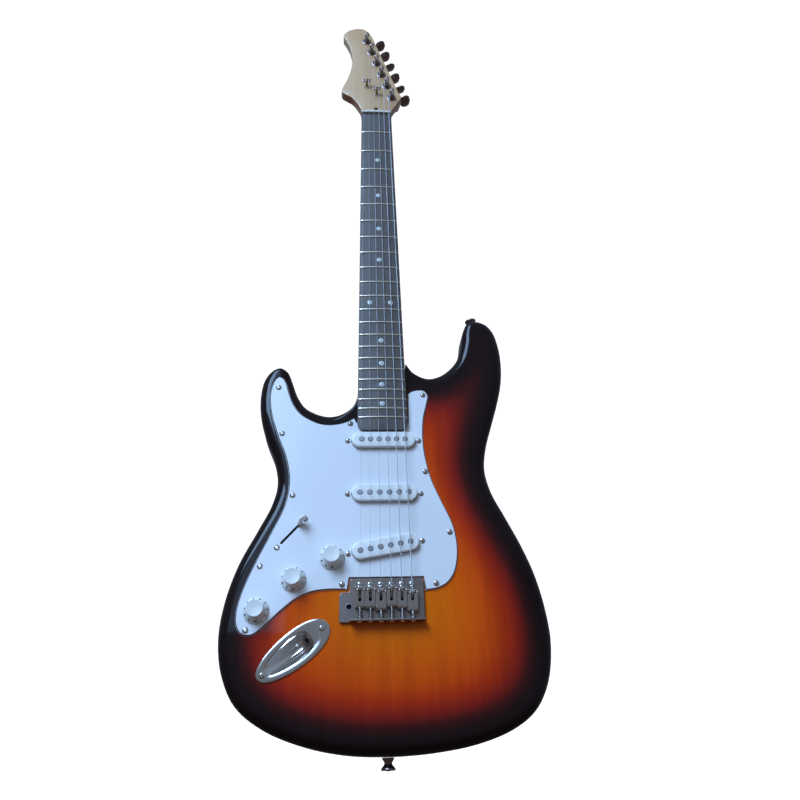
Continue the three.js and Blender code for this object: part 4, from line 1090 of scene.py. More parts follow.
SKIRT_R = 12.7
SKIRT_TOP = 0.3
SKIRT_TILT = 43
DIAL_SWEEP = 300
DIAL_MARKS = 10
KNOB_PROFILE = (
    (0, -13.1), (6.6, -13.2), (7.4, -13.4), (8.0, -13.35), (8.35, -13.0), (8.5, -12.4), (8.5, -10),
    (8.5, -7.5), (8.6, -5.4), (8.9, -4.2), (9.7, -3.2), (SKIRT_R - 0.3, -0.6),
    (SKIRT_R, SKIRT_TOP - 0.3), (SKIRT_R, 1.1), (7.6, 1.2), (7, -6.4), (0, -6.4),
)
KNOB_RIBS = 40
RIB_DEPTH = 0.16


def numeral(number):
    """Raised numeral lying flat, as a shape in millimetres."""
    text = bpy.data.curves.new("numeral", "FONT")
    text.body = str(number)
    text.size = 3.5
    text.offset = 0.06
    text.extrude = 0.12
    text.align_x = "CENTER"
    text.align_y = "CENTER"
    text.resolution_u = 3
    thing = bpy.data.objects.new("numeral", text)
    bpy.context.collection.objects.link(thing)
    shape = mesh_shape(evaluated_mesh(thing))
    bpy.data.objects.remove(thing)
    return shape


def dial_numbers():
    """Numerals 1 to 10 lying on the sloping skirt of a knob."""
    shapes = []
    for k in range(DIAL_MARKS):
        tilted = shifted(turned(numeral(k + 1), 90 + SKIRT_TILT, "X"), 0, -1.85, -11.15)
        angle = 300 - k * DIAL_SWEEP / (DIAL_MARKS - 1)
        shapes.append(turned(tilted, angle, "Y"))
    return merged(*shapes)


def knob_cap():
    """Turned cap whose barrel has ribs."""
    steps = KNOB_RIBS * 4
    rings = []
    for radius, y in KNOB_PROFILE:
        depth = RIB_DEPTH if 8.3 < radius < 9 and y > -12.9 else 0
        ring = []
        for k in range(steps):
            r = max(radius, TINY) - depth * (1 + math.cos(FULL * k / 4)) / 2
            ring.append((r * math.cos(FULL * k / steps), y, r * math.sin(FULL * k / steps)))
        rings.append(ring)
    return loft(rings)


def build_knob(name, x, down):
    body = f"knob_{name}"
    cap = shifted(knob_cap(), x, 0, -down)
    piece(f"{body}_cap", cap, COVER_WHITE, body=body, replaces=(body,), sharp=40)
    piece(f"{body}_numbers", shifted(dial_numbers(), x, 0, -down), PRINT, body=body)
    dress(f"pot_{name}", STEEL)


def build_switch():
    """Selector lever drawn upright on its pivot, then laid over to where it rests in its slot."""
    reach = SWITCH["reach"]
    blade = shifted(prism(rounded_rect(4.6, reach + 3, 2.2, 5), -0.8, 0.8), 0, 0, (reach + 3) / 2 - 2.7)
    profile = (
        (0, 0), (2.1, 0.1), (2.3, 1), (2.5, 3), (2.9, 6.5), (3.1, 9), (3.0, 10.5), (2.5, 11.8),
        (1.6, 12.7), (0, 13),
    )
    tip = turned(lathe([(radius, reach + y) for radius, y in profile], 28), 90, "X")

    def on_guard(shape):
        return placed(shape, SWITCH["x"], SWITCH["down"], SWITCH["heading"])

    def on_pivot(shape):
        leaning = turned(turned(shape, 90, "X"), SWITCH["rest"], "Z")
        return on_guard(shifted(leaning, 0, SWITCH["pivot_y"], 0))

    lever = dict(body="switch_lever", replaces=("switch_lever",))
    piece("switch_blade", on_pivot(merged(blade, cylinder(3.2, -1.6, 1.6))), STEEL, **lever)
    piece("switch_tip", on_pivot(stretched(tip, 1.5, 0.8, 1)), COVER_WHITE, **lever)
    screws = copies(SMALL_SCREW, [(along, GUARD_TOP, 0) for along in (-20.6, 20.6)])
    piece("switch_screws", on_guard(screws), CHROME)
    dress("switch_frame", STEEL)


# ------------------------------------------------------------------ output jack
# The dish as (share of its outline, depth), from its floor up to the rim.
JACK_DISH = (
    (0.12, 15.4), (0.25, 15), (0.38, 14), (0.5, 12.5), (0.61, 10.4), (0.72, 8), (0.82, 5.1), (0.9, 2.4),
    (0.95, 0.9), (1, -0.1), (1.05, -0.2),
)
JACK_RIM = ((-3.4, -1.5), (-1.6, -1.45), (-0.6, -1.2), (0, -0.75), (0, -0.2))


def egg_point(angle, grow):
    x = 0.5 * (JACK["length"] + grow) * math.cos(angle)
    sine = math.sin(angle)
    taper = 1 + 0.12 * math.cos(angle)
    return (x, 0.5 * (JACK["width"] + grow) * taper * math.copysign(abs(sine) ** 0.9, sine))


def jack_plate():
    """Dished plate: the dish from its floor up, the rim, and back down behind the dish."""
    steps = 72
    angles = [FULL * (k + 0.5) / steps for k in range(steps)]

    def ring(point, size, depth):
        return [(x, BODY_TOP + depth, z) for x, z in (point(angle, size) for angle in angles)]

    rings = [ring(dish_point, size, depth - 1.3) for size, depth in JACK_DISH]
    rings += [ring(egg_point, grow, depth) for grow, depth in JACK_RIM]
    rings.append(ring(dish_point, 1.09, -0.2))
    rings += [ring(dish_point, size * 1.04, depth + 0.3) for size, depth in reversed(JACK_DISH[:-2])]
    return loft(rings)


def build_jack():
    slant = JACK["slant"]
    axis = Vector((math.cos(slant), math.sin(slant), 0))
    wall = Vector((JACK["hole"], JACK_WALL_Y, 0))

    def rod(start, end, radius, sides=32):
        """Round rod along the socket's axis, given by its distances behind the wall of the dish."""
        return jack_turn(tube([wall + axis * start, wall + axis * end], radius, sides))

    plate = jack_turn(jack_plate())
    piece("jack_plate_shell", plate, CHROME, [rod(-14, 20, 6.1)], replaces=("jack_plate",), sharp=50)
    bore = rod(-3, 23, 3.3, 24)
    piece("jack_sleeve", rod(-1, 26, 5.75), SATIN_CHROME, [bore], replaces=("output_jack",), sharp=40)
    around_sleeve = rod(-3, 6, 5.8)
    piece("jack_nut", rod(-0.9, 1.4, 7.6, 6), CHROME, [around_sleeve], sharp=30)
    piece("jack_washer", rod(1.4, 2.0, 8.4), CHROME, [around_sleeve], sharp=30)
    piece("jack_collar", rod(23.2, 24.2, 8), STEEL, replaces=("output_jack",))
    screws = copies(SMALL_SCREW, [(along, BODY_TOP - 1.4, 0) for along in (-36, 34.6)])
    piece("jack_screws", jack_turn(screws), CHROME)


build_guard()
for spec in PICKUPS:
    build_pickup(*spec)
for spec in KNOBS:
    build_knob(*spec)
build_switch()
build_jack()


# ------------------------------------------------------------------ tremolo bridge
LENGTH_SCREW_Y = PLATE_TOP - 4.2
PLATE_CORNERS = (
    (PLATE_LEFT, PLATE_FRONT_DOWN, 4), (PLATE_RIGHT, PLATE_FRONT_DOWN, 4),
    (PLATE_RIGHT, PLATE_REAR_DOWN, 1.2), (-46.6, PLATE_REAR_DOWN, 1.6), (-46.6, 657.1, 4),
    (PLATE_LEFT, 657.1, 1.6),
)


def bend(start, corner, end, steps):
    """Points of a smooth bend from start to end that heads for the corner."""
    points = []
    for k in range(steps + 1):
        t = k / steps
        weights = ((1 - t) ** 2, 2 * t * (1 - t), t * t)
        points.append(tuple(np.dot(weights, (start, corner, end))))
    return points


def rounded_polygon(corners, steps=5):
    """Closed loop through (x, down, radius) corners with each corner rounded."""
    points = [Vector((x, -down)) for x, down, _ in corners]
    loop = []
    for i, corner in enumerate(points):
        radius = corners[i][2]
        before = (points[i - 1] - corner).normalized()
        after = (points[(i + 1) % len(points)] - corner).normalized()
        loop += bend(corner + before * radius, corner, corner + after * radius, steps)
    return loop


def along_z(x, y, *downs):
    return [(x, y, -down) for down in downs]


def helix(start, end, radius, turns, per_turn):
    """Points of a coil about the straight line from start to end."""
    a, b = Vector(start), Vector(end)
    axis = (b - a).normalized()
    across = axis.orthogonal().normalized()
    other = axis.cross(across)
    points = []
    for k in range(turns * per_turn + 1):
        angle = FULL * k / per_turn
        share = k / (turns * per_turn)
        points.append(a.lerp(b, share) + radius * (math.cos(angle) * across + math.sin(angle) * other))
    return points


def build_bridge_plate():
    xs = [string_at_bridge(i) for i in STRINGS]
    holes = [circle(3.1, 20, (ARM_HOLE[0], -ARM_HOLE[1]))]
    for x in xs:
        holes.append(circle(1.9, 14, (x, -PIVOT_DOWN)))
        holes.append(circle(2.0, 14, (x, -BALL_HOLE_DOWN)))
    flat = prism(rounded_polygon(PLATE_CORNERS), PLATE_TOP, PLATE_BACK, holes, edge=0.4)
    plate = mesh_object("bridge_plate_steel", flat)
    wall = slab(
        PLATE_LEFT, PLATE_RIGHT, PLATE_REAR_DOWN - 1.8, PLATE_REAR_DOWN, PLATE_TOP - 8.6, PLATE_TOP + 1,
        0.5, 0.4,
    )
    carve(plate, wall, operation="UNION")
    carve(plate, *(tube(along_z(x, LENGTH_SCREW_Y, 680, 690), 1.7, 16) for x in xs))
    finish_piece(plate, *PLATE_STEEL, body="tremolo", replaces=("bridge_plate",), sharp=18)


def build_arm_bushing():
    profile = (
        (0, PLATE_TOP - 0.5), (3.6, PLATE_TOP - 0.5), (4, PLATE_TOP - 0.1), (4, PLATE_TOP + 0.4),
        (3.05, PLATE_TOP + 0.5), (3.05, PLATE_BACK), (0, PLATE_BACK),
    )
    ring = placed(lathe(profile, 28), *ARM_HOLE, 0)
    bore = placed(cylinder(ARM_BORE_R, -6, 9), *ARM_HOLE, 0)
    piece("arm_bushing", ring, SATIN_CHROME, [bore], body="tremolo")


def build_pivot_screws():
    screws = []
    for i in STRINGS:
        screw = turned(SMALL_SCREW, 40 * i, "Y")
        screws.append(shifted(screw, string_at_bridge(i), PLATE_TOP - 0.1, -PIVOT_DOWN))
    piece("pivot_screws", merged(*screws), CHROME)


def build_block():
    blank = slab(-40.8, 30.8, 658.5, 675.5, PLATE_BACK + 0.05, 40, 1.2, 0.5)
    bores = [placed(cylinder(ARM_BORE_R, -2, 26), *ARM_HOLE, 0)]
    for i in STRINGS:
        bore = lathe(((0, 0), (1.7, 0), (1.7, 36), (2.9, 36.3), (2.9, 44), (0, 44)), 20)
        bores.append(shifted(bore, string_at_bridge(i), 0, -BALL_HOLE_DOWN))
    block = dict(body="tremolo", replaces=("tremolo_block",), sharp=40)
    piece("tremolo_block_steel", blank, STEEL, bores, **block)


def saddle_peak(i):
    return -9.2 + crown_drop(string_at_bridge(i))


def peak_down(i):
    return PEAK_DOWN + INTONATION[i]


# Side of a saddle as bends (start, corner, end, steps) through (down, y) from the front of its peak.
SADDLE_OUTSIDE = (
    ((0, 1.9), (0, 0), (1.9, 0), 6), ((3.4, 0.7), (4, 1), (5.4, 1.14), 6),
    ((18.2, 2.5), (21, 2.8), (21, 5), 6),
)
SADDLE_INSIDE = (((19.2, 5.4), (19.2, 4.6), (18.2, 4.5), 4), ((5, 3.1), (3.4, 2.9), (1.8, 3.6), 3))
SADDLE_HALF = 5.1
SADDLE_BEVEL = 0.35


def saddle_profile(peak, front):
    """Side of a bent-strip saddle as (down, y): over the peak, along the back and down its tail."""
    outer = [point for curve in SADDLE_OUTSIDE for point in bend(*curve)]
    inner = [point for curve in SADDLE_INSIDE for point in bend(*curve)]
    foot = PLATE_TOP - 1.2 - peak
    tail = [(SADDLE_LENGTH, foot), (SADDLE_LENGTH - 1.8, foot)]
    loop = [(0, 6), *outer, *tail, *inner, (1.8, 6)]
    return [(front + down, peak + y) for down, y in loop]


def saddle_strip(peak, x, front):
    profile = saddle_profile(peak, front)
    edge = offset(profile, SADDLE_BEVEL)
    inset = SADDLE_HALF - SADDLE_BEVEL
    sections = ((-SADDLE_HALF, edge), (-inset, profile), (inset, profile), (SADDLE_HALF, edge))
    verts, faces = loft([[(x + across, y, -d) for d, y in loop] for across, loop in sections], caps=False)
    count = len(profile)
    for start in (0, len(verts) - count):
        faces.extend(flat_cap([(v.z, v.y) for v in verts[start:start + count]], start))
    return verts, faces


def build_saddle(i):
    name = f"saddle_{i + 1}"
    peak, x = saddle_peak(i), string_at_bridge(i)
    front = peak_down(i) - 1.9
    back = front + SADDLE_LENGTH
    slot = slab(x - 1.5, x + 1.5, front + 3.6, BALL_HOLE_DOWN + 3, peak - 3, peak + 12, 1.4, 0)
    screw_hole = tube(along_z(x, LENGTH_SCREW_Y, back - 4, back + 2), 1.5, 16)
    strap = saddle_strip(peak, x, front)
    piece(f"{name}_strip", strap, CHROME, [slot, screw_hole], body="tremolo", replaces=(name,))
    profile = (
        (0, peak - 0.9), (0.7, peak - 0.9), (0.7, peak - 1.4), (1.25, peak - 1.6), (1.45, peak - 1.2),
        (1.45, PLATE_TOP - 0.3), (0.7, PLATE_TOP), (0, PLATE_TOP),
    )
    posts = copies(lathe(profile, 16), [(x + side, 0, -(front + 2.6)) for side in (-3.4, 3.4)])
    piece(f"{name}_height_screws", posts, DARK_CHROME, body="tremolo")
    shank = tube(along_z(x, LENGTH_SCREW_Y, 687, back - 6), 1.15, 14)
    head = shifted(stretched(facing(SMALL_SCREW, (0, 0, -1)), 0.86, 0.86, 0.86), x, LENGTH_SCREW_Y, -686.5)
    piece(f"{name}_length_screw", merged(shank, head), CHROME, body="tremolo")
    coil = helix(*along_z(x, LENGTH_SCREW_Y, back + 0.4, 684.3), 1.85, 5, 14)
    piece(f"{name}_spring", tube(coil, 0.32, 6), STEEL, body="tremolo")


# ------------------------------------------------------------------ tuners
POST_RADIUS = 3.1
GEAR_HALF = 2.2
WASHER_PROFILE = (
    (0, HEAD_FACE - 0.8), (5.8, HEAD_FACE - 0.8), (6.6, HEAD_FACE - 0.55), (6.9, HEAD_FACE), (0, HEAD_FACE),
)
POST_PROFILE = (
    (0, POST_TOP), (2.3, POST_TOP), (2.8, POST_TOP + 0.25), (POST_RADIUS, POST_TOP + 0.8),
    (POST_RADIUS, POST_TOP + 4.6), (2.8, POST_TOP + 5.3), (POST_WAIST, POST_TOP + 6.2),
    (POST_WAIST, HEAD_FACE - 4.6), (2.7, HEAD_FACE - 3.4), (POST_RADIUS, HEAD_FACE - 2.6),
    (POST_RADIUS, KEY_AXIS_Y - GEAR_HALF), (0, KEY_AXIS_Y - GEAR_HALF),
)
# Outlines of a key as (radius, distance from the middle of its button).
BUTTON_PROFILE = (
    (0, -7.2), (2.6, -7.3), (4.4, -6.9), (6.4, -6.0), (8.0, -4.6), (9.0, -2.6), (9.4, -0.4), (9.4, 1.4),
    (8.9, 3.4), (7.8, 5.1), (6.2, 6.3), (4, 6.9), (0, 7.05),
)
SHAFT_PROFILE = (
    (0, -5.4 - KEY_REACH), (2, -5.4 - KEY_REACH), (2, -10.4), (2.9, -9.8), (3.1, -8.8), (2.5, -7.6),
    (2.5, -6), (0, -6),
)


def build_housing(i):
    name = f"tuner_{i + 1}"
    back = HEAD_BACK + 0.15
    centre = (2, 2.05)
    base = prism(rounded_rect(20, 20.1, 3.2, 6, centre), back, back + 1.6)
    housing = rounded_plate(rounded_rect(18.6, 18.7, 4.4, 7, centre), back + 1.2, back + 9.3, 2.4, 5)
    neck = tube([(x, KEY_AXIS_Y, KEY_OFFSET) for x in (10.5, 13.4)], 3.4, 24)
    case = tuner_turn(merged(base, housing, neck), i)
    piece(f"{name}_case", case, CHROME, replaces=(f"tuner_housing_{i + 1}",))
    screw = shifted(facing(screw_head(2.4, 0.5, turn=15 * i), (0, 1, 0)), 0, back + 9.2, 0)
    piece(f"{name}_gear_screw", tuner_turn(screw, i), SATIN_CHROME)


def build_post(i):
    name, body = f"tuner_{i + 1}", f"tuner_post_{i + 1}"
    hexagon = lathe(((4.7, -0.2), (5.2, 0.2), (5.2, HEAD_FACE - 0.5)), 6)
    bushing = mesh_object(f"{name}_bushing", tuner_turn(lathe(WASHER_PROFILE), i))
    carve(bushing, tuner_turn(hexagon, i), operation="UNION")
    carve(bushing, tuner_turn(cylinder(POST_RADIUS + 0.25, -9, 9), i))
    finish_piece(bushing, *DARK_CHROME, sharp=30)
    post = tuner_turn(lathe(POST_PROFILE, 28), i)
    slot = tuner_turn(prism(rounded_rect(1.5, 9, 0.1, 1), POST_TOP - 3, POST_TOP + 4.4), i)
    piece(f"{name}_post", post, DARK_CHROME, [slot], body=body, replaces=(body,))
    gear = cylinder(4.85, KEY_AXIS_Y - GEAR_HALF, KEY_AXIS_Y + GEAR_HALF, 26)
    piece(f"{name}_gear", tuner_turn(gear, i), STEEL, body=body)


def build_key(i):
    name, body = f"tuner_{i + 1}", f"tuner_key_{i + 1}"
    verts, faces = lathe(BUTTON_PROFILE, 40)
    squared = [Vector((v.x, v.y, v.z * (0.36 - 0.0009 * v.x * v.x))) for v in verts]
    screw = shifted(turned(turned(TINY_SCREW, 180, "X"), 20, "Y"), 0, 6.9, 0)

    def place(shape):
        key = turned(turned(shifted(shape, 0, KEY_REACH, 0), -90, "Z"), KEY_REST_TURNS[i], "X")
        return tuner_turn(shifted(key, 0, KEY_AXIS_Y, KEY_OFFSET), i)

    piece(f"{name}_button", place((squared, faces)), DARK_CHROME, body=body, replaces=(body,))
    piece(f"{name}_shaft", place(lathe(SHAFT_PROFILE, 24)), CHROME, body=body, replaces=(body,))
    piece(f"{name}_button_screw", place(screw), SATIN_CHROME, body=body)


# ------------------------------------------------------------------ strings
STRING_SIDES = 10
WAIST_Y = HEAD_FACE - WAIST_HEIGHT
POST_TURNS = (5, 5, 4, 3, 2.5, 2)
COIL_STEPS = 16


def post_contact(i):
    x, down = post_place(i)
    return x - POST_WAIST - STRING_RADII[i] - 0.2, down


def string_across(i, down):
    x, end = post_contact(i)
    return lerp(string_at_nut(i), x, down / end)


def point_at_nut(i):
    x = string_at_nut(i)
    return x, NUT_SLOT_FLOOR + crown_drop(x) - STRING_RADII[i] - 0.15, 0


def point_at_saddle(i):
    return string_at_bridge(i), saddle_peak(i) - STRING_RADII[i] - 0.1, -(peak_down(i) - 0.2)


def tipped(point):
    """Where a point of the bridge is once the tremolo is tilted all the way."""
    pivot = Vector((0, PIVOT_Y, -PIVOT_DOWN))
    turn = Matrix.Rotation(-math.radians(TREMOLO_TILT), 3, "X")
    return pivot + turn @ (Vector(point) - pivot)


def string_head(i):
    """From the nut, under its string tree if it has one, to its post."""
    _, nut_y, _ = point_at_nut(i)
    points = [point_at_nut(i), (string_across(i, -NUT_LENGTH - 0.1), nut_y + 0.1, NUT_LENGTH + 0.1)]
    for held, down in TREES:
        if i in held:
            points.append((string_across(i, down), TREE_STRING_Y, -down))
    x, down = post_contact(i)
    return points + along_z(x, WAIST_Y, down + 2, down - 0.2)


def string_tail(i):
    """From the saddle's peak through its slot into the block, with the ball at its end."""
    x, crest_y, crest_z = point_at_saddle(i)
    peak = saddle_peak(i)
    points = [
        (x, crest_y, crest_z), (x, crest_y + 0.02, crest_z - 1), (x, crest_y + 0.3, crest_z - 2.4),
        (x, peak + 1.6, -(BALL_HOLE_DOWN - 1.8)), (x, peak + 3.4, -(BALL_HOLE_DOWN - 0.5)),
        (x, -1, -BALL_HOLE_DOWN), (x, 37, -BALL_HOLE_DOWN),
    ]
    ball = lathe(((0, 36.4), (2.0, 36.5), (2.2, 36.9), (2.2, 38.6), (2.0, 39), (0, 39)), 20)
    return merged(tube(points, STRING_RADII[i], STRING_SIDES), shifted(ball, x, 0, -BALL_HOLE_DOWN))


def string_coil(i):
    """Turns of string round the post's waist, ending in the slot at its top."""
    radius = STRING_RADII[i]
    x, down = post_place(i)
    around = POST_WAIST + radius + 0.05
    rise = POST_TURNS[i] * 2.15 * radius
    steps = int(POST_TURNS[i] * COIL_STEPS)
    points = []
    for k in range(steps + 1):
        angle = math.pi - FULL * k / COIL_STEPS
        y = WAIST_Y - rise * k / steps
        points.append((x + around * math.cos(angle), y, -down + around * math.sin(angle)))
    end_x, end_y, end_z = points[-1]
    for share, y in ((1.15, end_y - 1.0), (0.95, POST_TOP + 3.7), (0.4, POST_TOP + 3.6)):
        points.append((x + (end_x - x) * share, y, -down + (end_z + down) * share))
    return tube(points, radius, 8)


def build_string(i):
    """String in four pieces; the tremolo's tilt would bring the far end of the speaking length nearer the
    nut, and that travel is worked out but not applied.
    """
    name = f"string_{i + 1}"
    finish = WOUND if i > 2 else STRING
    stood_for = (name,)
    piece(f"{name}_head", tube(string_head(i), STRING_RADII[i], STRING_SIDES), finish, replaces=stood_for)
    nut, crest = Vector(point_at_nut(i)), Vector(point_at_saddle(i))
    speaking = [nut.lerp(crest, k / 40) for k in range(41)]
    length = tube(speaking, STRING_RADII[i], STRING_SIDES)
    length = piece(f"{name}_length", length, finish, replaces=stood_for)
    travel = tipped(crest) - crest
    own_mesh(length)
    piece(f"{name}_tail", string_tail(i), finish, body="tremolo", replaces=stood_for)
    piece(f"{name}_coil", string_coil(i), finish, body=f"tuner_post_{i + 1}")


def build_tree(number, held, down):
    """H-shaped string guide on a stem, with a string under each end of its bar."""
    ends = [string_across(i, down) for i in held]
    half = (ends[1] - ends[0]) / 2
    seat = TREE_STRING_Y - STRING_RADII[held[1]] - 0.3
    outer, inner = half + 1.9, half - 0.9
    quarter = ((inner, 1.5, 0.3), (inner, 3.4, 0.5), (outer, 3.4, 0.5))
    corners = [(-x, -z, r) for x, z, r in reversed(quarter)] + [(x, -z, r) for x, z, r in quarter]
    corners += [(x, z, r) for x, z, r in reversed(quarter)] + [(-x, z, r) for x, z, r in quarter]
    bar = prism(rounded_polygon(corners, 3), -1.4, 0, edge=0.4)
    stem = cylinder(1.6, -0.3, HEAD_FACE - seat, 20)
    head = shifted(stretched(SMALL_SCREW, 0.73, 0.6, 0.73), 0, -1.3, 0)
    whole = shifted(merged(bar, stem, head), sum(ends) / 2, seat, -down)
    piece(f"string_tree_{number}_set", whole, DARK_CHROME, replaces=(f"string_tree_{number}",))


# ------------------------------------------------------------------ back, springs and strap buttons
STRAP_BUTTON_PROFILE = (
    (0, 0.3), (5.9, 0.3), (5.9, 1.4), (5.2, 2.4), (4.3, 3.7), (3.8, 5), (3.7, 5.8), (4.3, 6.9), (5.6, 8.2),
    (6.6, 9.3), (6.9, 10.2), (6.9, 10.9), (6.5, 11.4), (5.8, 11.6), (3.4, 11.6), (2.9, 11.1),
    (0, 11.1),
)
COVER_FACE = 50.7
COVER_OUTLINE = rounded_rect(91, 152, 8, 8, (0, -616))
COVER_WINDOW = rounded_rect(62, 16, 6, 6, (0, -667))
COVER_SCREWS = [(sx * 40.5, COVER_FACE, -down) for sx in (-1, 1) for down in (546, 616, 686)]
NECK_PLATE = rounded_rect(51, 64, 4, 6, (0, -424))
NECK_SCREWS = [(sx * 19, BODY_BACK + 1.8, -(424 + sz * 25.5)) for sx in (-1, 1) for sz in (-1, 1)]
BACK_PLIES = (
    ("back_bottom_ply", 48.5, 49.2, 0.0, 0.35, WHITE_PLY),
    ("back_middle_ply", 49.2, 49.8, 0.35, 0.65, DARK_PLY),
    ("back_top_ply", 49.8, COVER_FACE, 0.65, 1.1, WHITE_PLY),
)
SPRING_Y = 39.4
CLAW_Y = 38
CLAW_DOWN = 563
CLAW_HALF = 25
BLOCK_HOOK_DOWN = 658


def build_strap_button(name, x, down, towards):
    outward = Vector((towards[0], 0, towards[1])).normalized()
    aim = Vector((0, 1, 0)).rotation_difference(outward).to_matrix().to_4x4()

    def place(shape):
        return shifted(moved(shape, aim), x, BODY_MIDDLE, -down)

    piece(f"{name}_button", place(lathe(STRAP_BUTTON_PROFILE, 36)), DARK_CHROME, replaces=(name,))
    head = stretched(turned(PLATE_SCREW, 180, "X"), 0.66, 0.6, 0.66)
    piece(f"{name}_screw", place(shifted(head, 0, 11, 0)), CHROME)


def build_back():
    plate = prism(NECK_PLATE, BODY_BACK + 0.3, BODY_BACK + 1.9, back_inset=0.5)
    piece("neck_joint_plate", plate, CHROME, replaces=("neck_plate",))
    piece("neck_plate_screws", copies(facing(PLATE_SCREW, (0, 1, 0)), NECK_SCREWS), CHROME)
    for name, front, back, front_inset, back_inset, finish in BACK_PLIES:
        shape = prism(COVER_OUTLINE, front, back, (COVER_WINDOW,), front_inset, back_inset)
        piece(name, shape, finish, replaces=("back_cover",), sharp=25)
    piece("back_cover_screws", copies(facing(SMALL_SCREW, (0, 1, 0)), COVER_SCREWS), CHROME)


def build_claw():
    wall = slab(-CLAW_HALF, CLAW_HALF, CLAW_DOWN - 2, CLAW_DOWN - 0.4, 33, 45, 0.5, 0.2)
    lip = slab(-CLAW_HALF, CLAW_HALF, CLAW_DOWN - 1.8, CLAW_DOWN + 4, 33, 34.4, 0.5, 0.2)
    piece("claw_plate", merged(wall, lip), STEEL, replaces=("spring_claw",))
    shank = tube(along_z(0, CLAW_Y, CLAW_DOWN - 14, CLAW_DOWN + 2), 1.7, 16)
    head = shifted(facing(SMALL_SCREW, (0, 0, -1)), 0, CLAW_Y, -CLAW_DOWN)
    piece("claw_screws", copies(merged(shank, head), [(x, 0, 0) for x in (-9, 9)]), CHROME)


def build_springs():
    for number, x in enumerate((-18, 0, 18)):
        coil = helix(*along_z(x, SPRING_Y, 574, 650), 3.4, 44, 14)
        lead_in = along_z(x, SPRING_Y, CLAW_DOWN + 0.2, 570, 573)
        lead_out = along_z(x, SPRING_Y, 651, 654, BLOCK_HOOK_DOWN)
        spring = mesh_object(f"tremolo_spring_{number + 1}", tube(lead_in + coil + lead_out, 0.78, 8))
        finish_piece(spring, *STEEL, body=None, replaces=(f"spring_{number + 1}",), sharp=60)
        start, end = ((x * MM, SPRING_Y * MM, -down * MM) for down in (CLAW_DOWN, BLOCK_HOOK_DOWN))
        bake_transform(spring)
        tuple(start)
        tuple(end)


build_bridge_plate()
build_arm_bushing()
build_pivot_screws()
build_block()
for string in STRINGS:
    build_saddle(string)
    build_housing(string)
    build_post(string)
    build_key(string)
    build_string(string)
for number, (held, tree_down) in enumerate(TREES):
    build_tree(number + 1, held, tree_down)
build_strap_button("strap_button_tail", 0.3, 806.5, (0, -1))
build_strap_button("strap_button_horn", 115.2, 330.9, (-0.17, 0.985))
build_back()
build_claw()
build_springs()


# ------------------------------------------------------------------ stage, light and camera
FLOOR_Z = -1060
FLOOR_HALF = 4000
FLOOR_FRONT_Y = -4200
BACKDROP_Y = 1500
BACKDROP_TOP = 3200
CAMERA_PLACE = (-37.33, -750.22, -814.10)
CAMERA_LOOK = (0.068844, 0.893968, 0.442811)
CAMERA_UP = (-0.001873, -0.443748, 0.896150)
CAMERA_LENS = 33.31
LIT_POINT = (0, 0, -450)
WINDOW_LIGHT = (0.43, 0.65, 1.0)
ROOM_LIGHT = (0.62, 0.78, 1.0)
WHITE = (1, 1, 1, 1)
GLOW_ABOVE = (0.254, 0.32, 0.41, 1)
GLOW_BELOW = (0.085, 0.068, 0.062, 1)
PAPER = (0.93, 0.92, 0.91, 1)
PAPER_SHADE = (0.90, 0.89, 0.88, 1)
PAPER_GLOW = 0.62


def backdrop():
    """Pale floor that curves up into a seamless wall behind the object."""
    sweep, steps = 700, 12
    start = BACKDROP_Y - sweep
    profile = [(FLOOR_FRONT_Y, FLOOR_Z)]
    for k in range(steps + 1):
        angle = math.pi / 2 * k / steps
        profile.append((start + sweep * math.sin(angle), FLOOR_Z + sweep * (1 - math.cos(angle))))
    profile.append((BACKDROP_Y, BACKDROP_TOP))
    verts = [(x, y, z) for y, z in profile for x in (-FLOOR_HALF, FLOOR_HALF)]
    faces = [(2 * i, 2 * i + 1, 2 * i + 3, 2 * i + 2) for i in range(len(profile) - 1)]
    floor = mesh_object("floor_and_backdrop", (verts, faces))
    material, shader = new_material(
        "backdrop_paper", Roughness=0.9, Emission_Color=PAPER, Emission_Strength=PAPER_GLOW
    )
    coloured(material, shader, noise(material, 2, 2), ((0.2, PAPER_SHADE), (0.8, PAPER)))
    shade(floor)
    floor.data.materials.append(material)
    floor.visible_glossy = False
    floor.visible_diffuse = False
    return floor


def add_light(name, kind, place, target, energy, colour, floor, link):
    """Lamp that lights the backdrop alone (INCLUDE) or everything but the backdrop (EXCLUDE)."""
    light = bpy.data.lights.new(name, kind)
    light.energy = energy
    light.color = colour
    lamp = bpy.data.objects.new(name, light)
    bpy.context.collection.objects.link(lamp)
    lamp.location = Vector(place) * MM
    aim = Vector(target) - Vector(place)
    lamp.rotation_euler = aim.to_track_quat("-Z", "Y").to_euler()
    group = bpy.data.collections.new(f"{link.lower()}_floor_{name}")
    group.objects.link(floor)
    group.collection_objects[0].light_linking.link_state = link
    lamp.light_linking.receiver_collection = group
    return lamp


def softbox(name, place, target, width, height, watts, colour, floor):
    lamp = add_light(name, "AREA", place, target, watts, colour, floor, "EXCLUDE")
    lamp.data.shape = "RECTANGLE"
    lamp.data.size = width * MM
    lamp.data.size_y = height * MM
    return lamp


def floor_light(floor):
    """Even white light for the backdrop alone, so that its shadow stays pale and neutral."""
    lamp = add_light("floor_light", "SUN", (0, -1000, 1000), (0, 0, 0), 1.7, (1, 1, 1), floor, "INCLUDE")
    lamp.data.angle = math.radians(25)


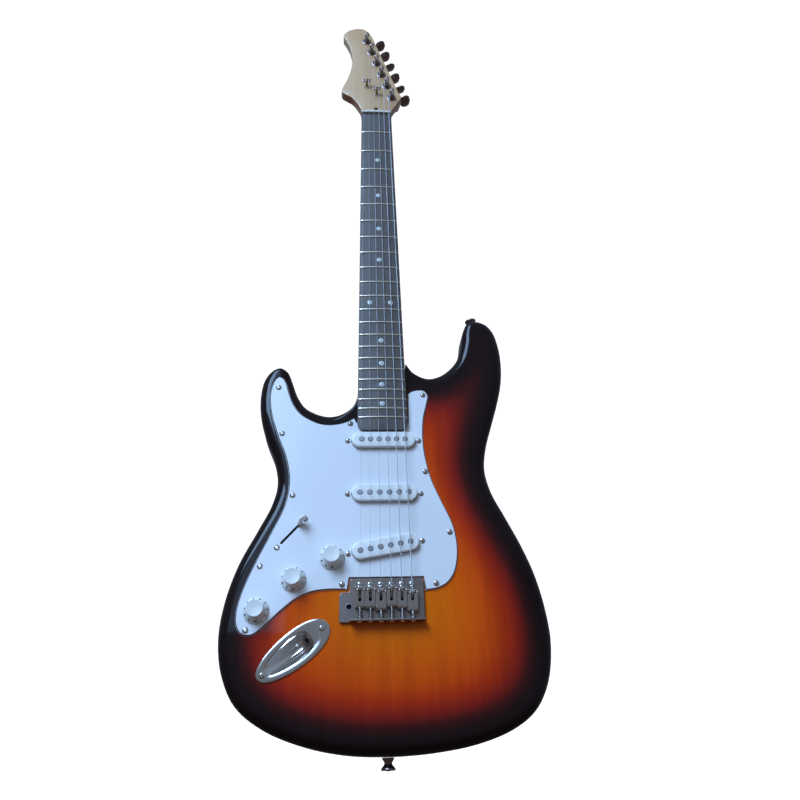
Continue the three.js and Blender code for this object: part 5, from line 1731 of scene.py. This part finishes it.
def room():
    """Dim room light, warm below and cool above; the camera sees plain white beyond the backdrop."""
    world = bpy.data.worlds.new("studio")
    world.use_nodes = True
    place = add(world, "ShaderNodeTexCoord")
    height = add(world, "ShaderNodeSeparateXYZ")
    share = add(world, "ShaderNodeMapRange", (("From Min", -0.6), ("From Max", 0.9)))
    glow = ramp(world, ((0, GLOW_BELOW), (1, GLOW_ABOVE)))
    wire(world, place.outputs["Generated"], height.inputs["Vector"])
    wire(world, height.outputs["Z"], share.inputs["Value"])
    wire(world, share.outputs["Result"], glow.inputs["Fac"])
    dim = world.node_tree.nodes["Background"]
    wire(world, glow.outputs["Color"], dim.inputs["Color"])
    white = add(world, "ShaderNodeBackground", (("Color", WHITE),))
    ray = add(world, "ShaderNodeLightPath")
    pick = add(world, "ShaderNodeMixShader")
    wire(world, ray.outputs["Is Camera Ray"], pick.inputs[0])
    wire(world, dim.outputs["Background"], pick.inputs[1])
    wire(world, white.outputs["Background"], pick.inputs[2])
    wire(world, pick.outputs["Shader"], world.node_tree.nodes["World Output"].inputs["Surface"])
    bpy.context.scene.world = world


def camera():
    data = bpy.data.cameras.new("camera")
    data.lens = CAMERA_LENS
    data.sensor_width = 36
    data.clip_start = 0.02
    eye = bpy.data.objects.new("camera", data)
    bpy.context.collection.objects.link(eye)
    back = -Vector(CAMERA_LOOK).normalized()
    right = Vector(CAMERA_UP).cross(back).normalized()
    up = back.cross(right)
    turn = Matrix((right, up, back)).transposed().to_4x4()
    eye.matrix_world = Matrix.Translation(Vector(CAMERA_PLACE) * MM) @ turn
    bpy.context.scene.camera = eye


paper_floor = backdrop()
floor_light(paper_floor)
softbox("key_window", (-1300, -2200, 1400), LIT_POINT, 1500, 1800, 126, WINDOW_LIGHT, paper_floor)
softbox("left_panel", (-475, -1500, 100), (-150, 0, -480), 550, 1100, 3.6, WINDOW_LIGHT, paper_floor)
fill = softbox("back_fill", (300, 1300, 500), LIT_POINT, 900, 900, 28, ROOM_LIGHT, paper_floor)
fill.visible_glossy = False
room()
camera()
bpy.context.scene.view_settings.view_transform = "Standard"
